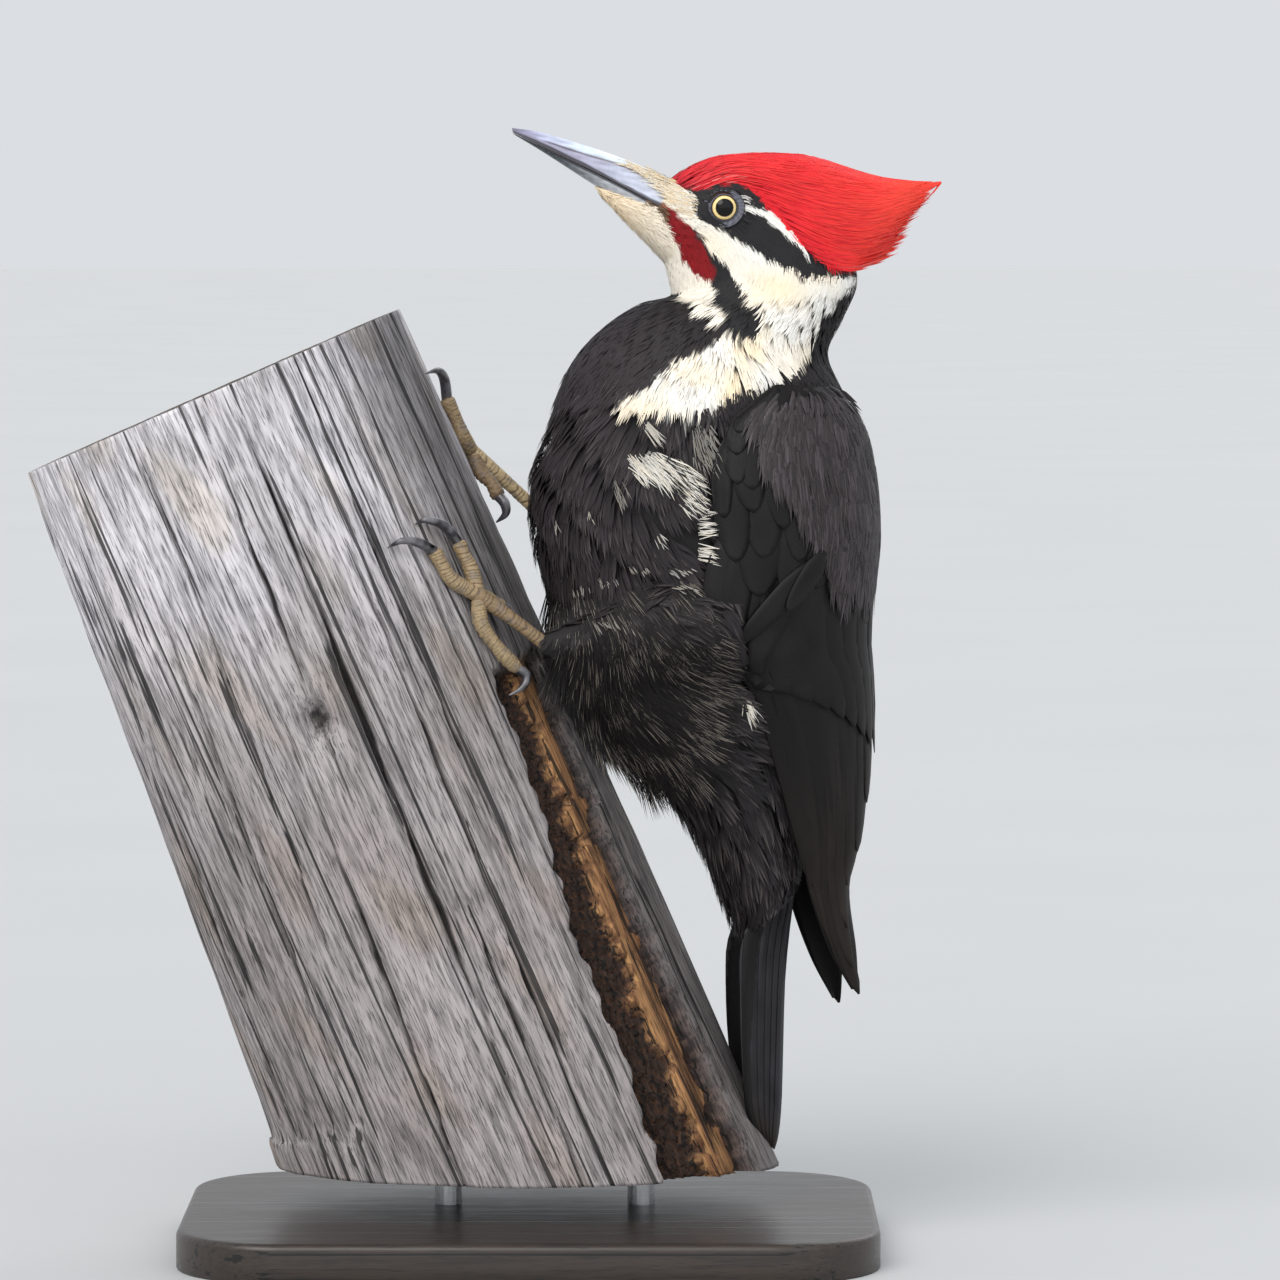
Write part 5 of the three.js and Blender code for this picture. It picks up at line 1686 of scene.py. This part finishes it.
def scaly_limb(path, radii, reference, scute, random):
    """A toe or shank: a tube ringed above with plates `scute` mm long; its ends close as a circle
    does."""
    last = len(path) - 1
    fine = along(path, linspace(0, last, 400))
    run = np.append(0, np.cumsum(np.linalg.norm(np.diff(fine, axis=0), axis=-1)))
    length, angle = grid(linspace(0, run[-1], int(run[-1] / scute * 8)), circle(30))
    part = interp(length, run, linspace(0, last, 400))
    top = step(-0.25, 0.35, cos(angle))
    count = length / scute + 0.35 * sin(length * 0.9) + 0.25 * np.abs(angle - pi)
    saw = count % 1
    plate = step(0, 0.22, saw) * (1 - 0.4 * saw)
    warts = soft_noise(stack([length, 2.4 * cos(angle), 2.4 * sin(angle)], -1), 1.5, 61)
    grow = 0.34 * (plate - 0.6) * top + 0.16 * warts * (1 - top)
    near_end = clip(np.minimum(length, run[-1] - length) / 2.2, 0, 1)
    ends = np.sqrt(clip(1 - (1 - near_end) ** 2, 0.0004, 1))
    radius = along(np.c_[radii], part)[..., 0]
    points = tube(path, radii, part, angle, (radius + grow) * ends - radius, reference)
    tan = mix(srgb(196, 174, 134), srgb(120, 98, 72), random.random())
    # Dark joints between the plates above; below, the hollows between the warts are painted darker as painted
    # shade.
    groove = step(0.3, 0, saw) * top + 0.35 * (1 - top) * step(0.2, -1, warts)
    colour = tint(tan, srgb(74, 58, 44), 0.75 * groove)
    return points, tint(colour, srgb(112, 104, 96), 0.55 * step(0.1, 1.2, soft_noise(points, 7, 62)))


def hooked_claw(path, radii, reference):
    """A claw: a smooth tapered tube, a little higher than wide, with a groove along its side."""
    part, angle = grid(linspace(0, len(path) - 1, 60), circle(24))
    flat = 0.2 * np.abs(cos(angle)) - 0.1 * np.exp(-((cos(angle) + 0.45) ** 2) / 0.02) - 0.2
    points = tube(path, radii, part, angle, along(np.c_[radii], part)[..., 0] * flat, reference)
    # Painted highlight: a pale grey stripe along the upper side of the claw.
    light = np.exp(-((cos(angle) - 0.8) ** 2) / 0.15) * (0.5 + 0.5 * soft_noise(points, 5, 64))
    colour = tint(srgb(52, 50, 54), srgb(150, 148, 152), 0.6 * light)
    return points, tint(colour, srgb(112, 96, 76), 0.7 * step(0.35, 0, part))


SCALE_LOOK = painted_material("scaly foot", 900, 0.6, 0.45, 0.4)
CLAW_LOOK = painted_material("claw", 500, 0.3, 0.15, 0.4, Coat_Weight=0.3, Coat_Roughness=0.2)


def limbs_piece(name, limbs, look, slot, nodes):
    """One piece made of several closed tubes, each given as grids of points and colours."""
    points, faces, colours, start = [], [], [], 0
    for rings, colour in limbs:
        rings = capped(rings)
        faces.append(start + grid_faces(*rings.shape[:2])[:, ::-1])
        points.append(rings.reshape(-1, 3))
        colours.append(capped(colour).reshape(-1, 3))
        start += len(points[-1])
    points, colours = concatenate(points), concatenate(colours)
    make_piece(name, points, faces, look, slot, nodes, None, colours)


def make_foot(side):
    """Shank, four toes and four claws of one leg."""
    random = np.random.default_rng(70 + len(side))
    hock, place, toes = LEGS[side]
    ankle, outward = on_post(*place), post_normal(place)
    beyond = ankle + unit(ankle - hock) * 1.5
    shank = [hock + (hock - ankle) * 0.12, (hock + ankle) / 2 + 0.6 * outward, ankle, beyond]
    limbs, claws = [scaly_limb(shank, [2.6, 2.3, 3, 2.8], [0, -1, 0.3], 2.1, random)], []
    for number, (knuckles, claw) in enumerate(toes, 1):
        thick = 1.9 if number == 1 else 2.7
        path = [ankle] + [on_post(*place) for place in knuckles]
        radii = [0.95, *np.resize([1.03, 0.86], len(knuckles)), 0.9]
        tip = path[-1] + unit(path[-1] - path[-2]) * 1.2
        limbs.append(scaly_limb([*path, tip], thick * array(radii), outward, 1.45, random))
        taper = [1.5, 1.1, 0.3] if number == 1 else [2, 1.9, 1.4, 0.25]
        hook = [path[-1]] + [on_post(*place) for place in claw]
        claws.append(hooked_claw(hook, taper, post_normal(knuckles[-1])))
    toes, hooks = ([f"{kind}_{side}_{number}" for number in (1, 2, 3, 4)] for kind in ("toe", "claw"))
    limbs_piece("foot_" + side, limbs, SCALE_LOOK, "foot", ("shank_" + side, *toes))
    limbs_piece("claws_" + side, claws, CLAW_LOOK, "claw", hooks)


make_foot("left")
make_foot("right")

# %% [markdown]
# ## The post
# Weathered wood: fibres stand proud, drying cracks run along the grain, and towards the tail it has
# split and rotted brown. One grid of height and angle is pressed in by those shapes, with columns set
# closer where the cracks are.

# %% The wood's surface
# angle, from height, to height, width and depth in mm
CRACKS = [
    [1.44, 40, 300, 1.7, 12], [1.2, -20, 250, 1.1, 9], [1.8, -20, 190, 1, 6], [1.06, 110, 310, 1.2, 8],
    [0.86, 60, 300, 0.9, 5], [1.62, 150, 320, 0.9, 6], [1.98, 90, 320, 0.8, 5], [1.32, -20, 120, 0.8, 5],
    [2.2, 60, 270, 1.6, 10], [2.62, 20, 220, 2, 8], [-1.7, 20, 260, 3, 12], [-0.9, 90, 300, 2.4, 9],
    [-2.5, 0, 200, 2.4, 9],
]
ROT_TOP = 176  # mm up the post, where the split begins


def wood_noise(up, around, across, length, size, seed, waves=7):
    """Soft noise on the side of the post, with its own stretch across and along."""
    return soft_noise(stack([around * across, up / length], -1), size, seed, waves)


def rot_layers(up, around):
    """The depth of the split, its colour, and how open it is: wider below, ragged, with a slat of
    orange brown wood between two gaps, and crumbling wood."""
    t = clip(1 - up / ROT_TOP, 0, 1)
    ragged = 0.012 * sin(up / 4.5) + 0.01 * sin(up / 1.7 + 1) + 0.02 * sin(up / 17)
    across = (around + ragged - mix(0.5, 0.68, t)) / mix(0.2, 0.3, t)
    opened = step(1.05, 0.93, np.abs(across)) * step(ROT_TOP, ROT_TOP - 5, up + 40 * ragged)
    edge = 0.12 * soft_noise(stack([up / 6, up / 30], -1), 2, 91)
    slat = step(-0.72, -0.62, across + edge) * step(0.08, -0.04, across - edge)
    crumbs = wood_noise(up, around, 50, 2.2, 1.6, 92, 18)
    strips = wood_noise(up, around, 90, 26, 2.2, 83, 12)
    deep = mix(1 + 0.22 * crumbs, 0.5 + 0.14 * strips, slat)
    slat_look = tint(srgb(112, 74, 48), srgb(196, 148, 98), step(-0.9, 1.1, strips))
    crumb_look = tint(srgb(44, 32, 28), srgb(116, 80, 58), step(-0.8, 1.6, crumbs))
    return opened * deep, tint(crumb_look, slat_look, slat), opened


def wood_surface(up, around):
    """The post with fibres, cracks, knot and split: points, and how deep in a crack each is."""
    lift = 0.32 * wood_noise(up, around, 18, 26, 2.2, 81, 16)
    lift = lift + 0.5 * wood_noise(up, around, 7.2, 65, 2.6, 82)
    crack = np.zeros(up.shape)
    for number, (angle, start, end, wide, deep) in enumerate(CRACKS):
        wander = 0.01 * sin(up / 55 + number) + 0.003 * sin(up / 6 + 2 * number)
        t = clip((up - start) / (end - start), 0, 1)
        open_by = (0.25 + sin(pi * t)) * step(0, 0.03, t) * step(1, 0.97, t)
        open_by = open_by * (0.8 + 0.3 * sin(up / 13 + 3 * number))
        half = open_by * wide / (1.5 * POST_ACROSS) + 0.001
        off = np.abs((around - angle - wander + pi) % (2 * pi) - pi)
        pressed = step(half, half * 0.4, off) * open_by
        crack = maximum(crack, pressed)
        lift = lift - pressed * deep * 0.5
    lift = lift - 8.5 * rot_layers(up, around)[0]
    from_knot = np.hypot((around - 1.63) * POST_ACROSS, (up - 186) * 0.7)
    knot = bell(from_knot, 3.6) * (1 + 0.3 * sin(up * 1.3) * sin(around * 60))
    lift = lift - 3 * knot + 0.8 * bell(from_knot - 7, 3)
    return on_post(up, around, lift), maximum(crack, knot * 0.8)


def close_columns(count):
    """Angles round the post, denser near cracks and split: equal steps of a running sum."""
    angle = linspace(-pi, pi, 4001)
    wanted = 0.6 + 1.6 * np.exp(-(((angle - 0.62) / 0.36) ** 4))
    for place in CRACKS:
        wanted = wanted + 2.2 * bell(angle - place[0], 0.05)
    total = np.cumsum(wanted)
    return interp(arange(count) / count, (total - total[0]) / (total[-1] - total[0]), angle)


def wood_paint(up, around, crack):
    """Silver grey, browner in patches, and brown to black in the rot. Painted light and shade: darker and
    warmer low down, which is partly browner wood, lighter towards the top, and darker on the side turned from
    the key light, in the cracks and deep in the rot.
    """
    patch = clip(0.5 + 0.5 * wood_noise(up, around, 30, 3, 22, 84), 0, 1)
    silver = tint(srgb(192, 189, 194), srgb(176, 172, 174), patch)
    brown = step(0.3, 1.4, wood_noise(up, around, 40, 4, 16, 85))
    colour = tint(silver, srgb(176, 162, 146), 0.35 * brown)
    # Darker and warmer low down, partly browner wood and partly painted shade, and lighter towards the top as
    # painted light.
    colour = colour * tint(array([0.66, 0.62, 0.59]), 1.25, step(150, 290, up))
    # Painted shade: the side turned from the key light, 0.3 to 0.5 round from the bird, darkened towards
    # grey.
    flank = step(0.95, 0.5, around) * step(-0.2, 0.3, around)
    colour = tint(colour, srgb(80, 76, 76), 0.75 * flank)
    depth, rotten, opened = rot_layers(up, around)
    # Painted shade: the rot is darker where the split is deeper.
    colour = tint(colour, rotten * mix(1.1, 0.75, clip(depth, 0, 1))[..., None], opened)
    # Painted shade: cracks and the knot's pit are darkened almost to black.
    return tint(colour, srgb(40, 36, 36), clip(crack * 1.6, 0, 1) * 0.92)


# %% Shared effect: wood fibres
def make_fibre_group():
    """Noise stretched along Z: broad streaks, crisp flakes, pores, and long dark checks."""
    inputs = {"Vector": None, "Colour": (0.4, 0.38, 0.38, 1), "Contrast": 1}
    group, tree, given, out = new_group("wood fibres", inputs, ("Height",))

    def fibres(across, length, detail):
        scaled = tree.add("Mapping", {"Vector": given["Vector"]}, Scale=(across, across, length))[0]
        return tree.add("TexNoise", {"Vector": scaled}, Scale=1, Detail=detail)["Fac"]

    broad, flake = fibres(60, 5, 3), fibres(620, 36, 6)
    hair, long = fibres(2400, 120, 3), fibres(420, 2.2, 2)
    flakes = tree.ramp(flake, [(0.4, 0), (0.49, 0.7), (0.62, 1)])
    value = tree.times(flakes, 0.4, tree.times(broad, 0.7))
    value = tree.times(hair, 0.6, value)
    shade = tree.times(tree.math("SUBTRACT", value, 0.92), given["Contrast"])
    shade = tree.math("ADD", tree.times(shade, 1.7), 1)
    check, pores = tree.ramp(long, [(0.36, 0.12), (0.4, 1)]), tree.ramp(hair, [(0.34, 0.5), (0.42, 1)])
    check = tree.times(check, pores)
    tree.link(tree.shade(given["Colour"], tree.times(shade, check)), out["Colour"])
    tree.link(tree.times(value, check), out["Height"])
    return group


FIBRES = make_fibre_group()


def wood_material():
    """Weathered wood; the pattern is turned so that its Z runs along the leaning post."""
    material, tree, shader = new_material("weathered wood", Roughness=0.9)
    place = tree.place()
    upright = tree.add("Mapping", {"Vector": place}, Rotation=(0, POST_LEAN, 0))[0]
    fibres = tree.use(FIBRES, {"Vector": upright, "Colour": tree.paint()}, Contrast=0.8)
    spots = tree.use(MOTTLE, {"Vector": place, "Colour": fibres["Colour"]}, Scale=70, Amount=0.25)
    tree.link(spots["Colour"], shader["Base Color"])
    tree.bump(shader, fibres["Height"], 0.8, 0.0009)
    return material


def make_post():
    """The grid of the side, and ends that close it: a level cut below, a square cut above."""
    up, angle = grid(linspace(0, POST_LENGTH, 240), close_columns(300))
    points, crack = wood_surface(up, angle)
    colour = wood_paint(up, angle, crack)
    drop = (points[..., 2] - POST_FOOT[2]) / cos(POST_LEAN)
    points = points - (drop[:1] * step(60, 0, up))[..., None] * post_up
    t = linspace(0, 1, 14)[1:, None, None]
    ends = []
    for edge, paint, top in ((points[0], colour[0], False), (points[-1], colour[-1], True)):
        middle = edge.mean(0)
        disc = mix(edge, middle, t)
        ring = np.linalg.norm(disc - middle, axis=-1)
        bumps = 0.35 * sin(ring * 1.9 + soft_noise(disc, 30, 87)) * step(0, 6, ring) * top
        disc = disc + (bumps * step(1, 0.9, 1 - t[..., 0]))[..., None] * post_up
        shade = tint(srgb(122, 114, 108), srgb(92, 84, 78), 0.5 + 0.5 * sin(ring * 1.9))
        ends.append((disc, mix(paint * 0.8, shade, step(0, 0.12, t))))
    points = concatenate([ends[0][0][::-1], points, ends[1][0]])
    colour = concatenate([ends[0][1][::-1], colour, ends[1][1]])
    shell_piece("post_wood", points, wood_material(), "perch", ("perch",), None, colour, False, True)


make_post()

# %% [markdown]
# ## Display stand
# A dark oiled board with round corners, and two steel pins. The pins keep their CAD meshes; the board
# is made again with soft edges.

# %% Stand
BOARD_LENGTH, BOARD_WIDTH, BOARD_HEIGHT, BOARD_CORNER, BOARD_SOFT = 250, 176, 14, 40, 2.5


def board_ring(inward, level):
    """A rectangle with round corners, `inward` mm inside the board's edge: quarter circles."""
    turn = circle(160) + 1e-4
    quarter = np.floor(turn / (pi / 2))
    sign_x, sign_y = np.where((quarter == 0) | (quarter == 3), 1, -1), np.where(quarter < 2, 1, -1)
    corner = BOARD_CORNER - inward
    x = sign_x * (BOARD_LENGTH / 2 - BOARD_CORNER) + corner * cos(turn)
    y = sign_y * (BOARD_WIDTH / 2 - BOARD_CORNER) + corner * sin(turn)
    return stack([x, y, level + 0 * turn], -1)


def board_material():
    """Dark stained wood with a satin finish; its grain runs along the board."""
    material, tree, shader = new_material("stained board", Coat_Weight=0.15, Coat_Roughness=0.3)
    flat = tree.add("Mapping", {"Vector": tree.place()}, Rotation=(0, pi / 2, 0))[0]
    fibres = tree.use(FIBRES, {"Vector": flat}, Colour=(0.03, 0.02, 0.015, 1), Contrast=0.5)
    tree.link(fibres["Colour"], shader["Base Color"])
    tree.link(tree.times(fibres["Height"], 0.15, 0.25), shader["Roughness"])
    tree.bump(shader, fibres["Height"], 0.15)
    return material


def make_board():
    """Rings from the middle of the underside, round the soft upper edge, to the middle."""
    turn = linspace(0, pi / 2, 9)
    inward = [38, 20, 0.6, 0, 0, *(BOARD_SOFT - BOARD_SOFT * cos(turn)), 6, 14, 26, 38]
    level = [0, 0, 0, 0.6, 6, *(BOARD_HEIGHT - BOARD_SOFT + BOARD_SOFT * sin(turn)), *[BOARD_HEIGHT] * 4]
    rings = stack([board_ring(*place) for place in zip(inward, level)])
    shell_piece("stand_board", rings, board_material(), "stand_base", ("stand_base",))


def pin_material():
    """Turned steel with faint rings."""
    material, tree, shader = new_material("steel pin", Metallic=1)
    place = tree.place()
    scaled = tree.add("Mapping", {"Vector": place}, Scale=(20, 20, 3000))[0]
    rings = tree.add("TexNoise", {"Vector": scaled}, Scale=1, Detail=3)["Fac"]
    spots = tree.use(MOTTLE, {"Vector": place}, Colour=(0.5, 0.51, 0.52, 1), Scale=300, Amount=0.2)
    tree.link(spots["Colour"], shader["Base Color"])
    tree.link(tree.times(rings, 0.3, 0.15), shader["Roughness"])
    return material


make_board()
PIN_LOOK = pin_material()
for node in ("stand_rod_1", "stand_rod_2"):
    bpy.data.objects[node].data.materials[0] = PIN_LOOK

# %% [markdown]
# ## Floor, light and finish
# A plain pale floor and soft light: a key from the upper left in front, a weaker fill from the right
# and a rim light from behind that draws the edge of the dark bird.

# %% Floor
floor_material, floor_tree, floor_shader = new_material("pale floor", Roughness=0.7)
floor_place, floor_grey = {"Vector": floor_tree.place()}, (0.525, 0.535, 0.54, 1)
floor_spots = floor_tree.use(MOTTLE, floor_place, Colour=floor_grey, Scale=3, Amount=0.04)
floor_tree.link(floor_spots["Colour"], floor_shader["Base Color"])


def make_floor():
    """A flat disc in rings: x = r cos a, y = r sin a."""
    radius, turn = grid(np.geomspace(100, 25000, 24), circle(64))
    points = capped(stack([radius * cos(turn), radius * sin(turn), 0 * turn], -1))[:-1]
    return make_piece("floor", points, [grid_faces(25, 64)], floor_material, None)


make_floor()


# %% Lights
def soft_sun(name, place, spread, power, colour):
    """Light from one direction, `spread` degrees wide."""
    data = bpy.data.lights.new(name, "SUN")
    data.angle, data.energy, data.color = np.radians(spread), power, colour
    light = bpy.data.objects.new(name, data)
    light.rotation_euler = (-Vector(place)).to_track_quat("-Z", "Y").to_euler()
    bpy.context.scene.collection.objects.link(light)


soft_sun("key", (-0.9, -1.5, 1.6), 40, 1.75, (1, 0.97, 0.93))
soft_sun("fill", (0.5, -2, 0.5), 90, 0.95, (0.95, 0.97, 1))
soft_sun("rim", (0.9, 1.4, 1.3), 40, 0.5, (1, 1, 1))
world = bpy.data.worlds.new("studio")
world.use_nodes = True
sky = world.node_tree.nodes["Background"].inputs
sky["Color"].default_value, sky["Strength"].default_value = (0.93, 0.96, 1, 1), 0.76
bpy.context.scene.world = world
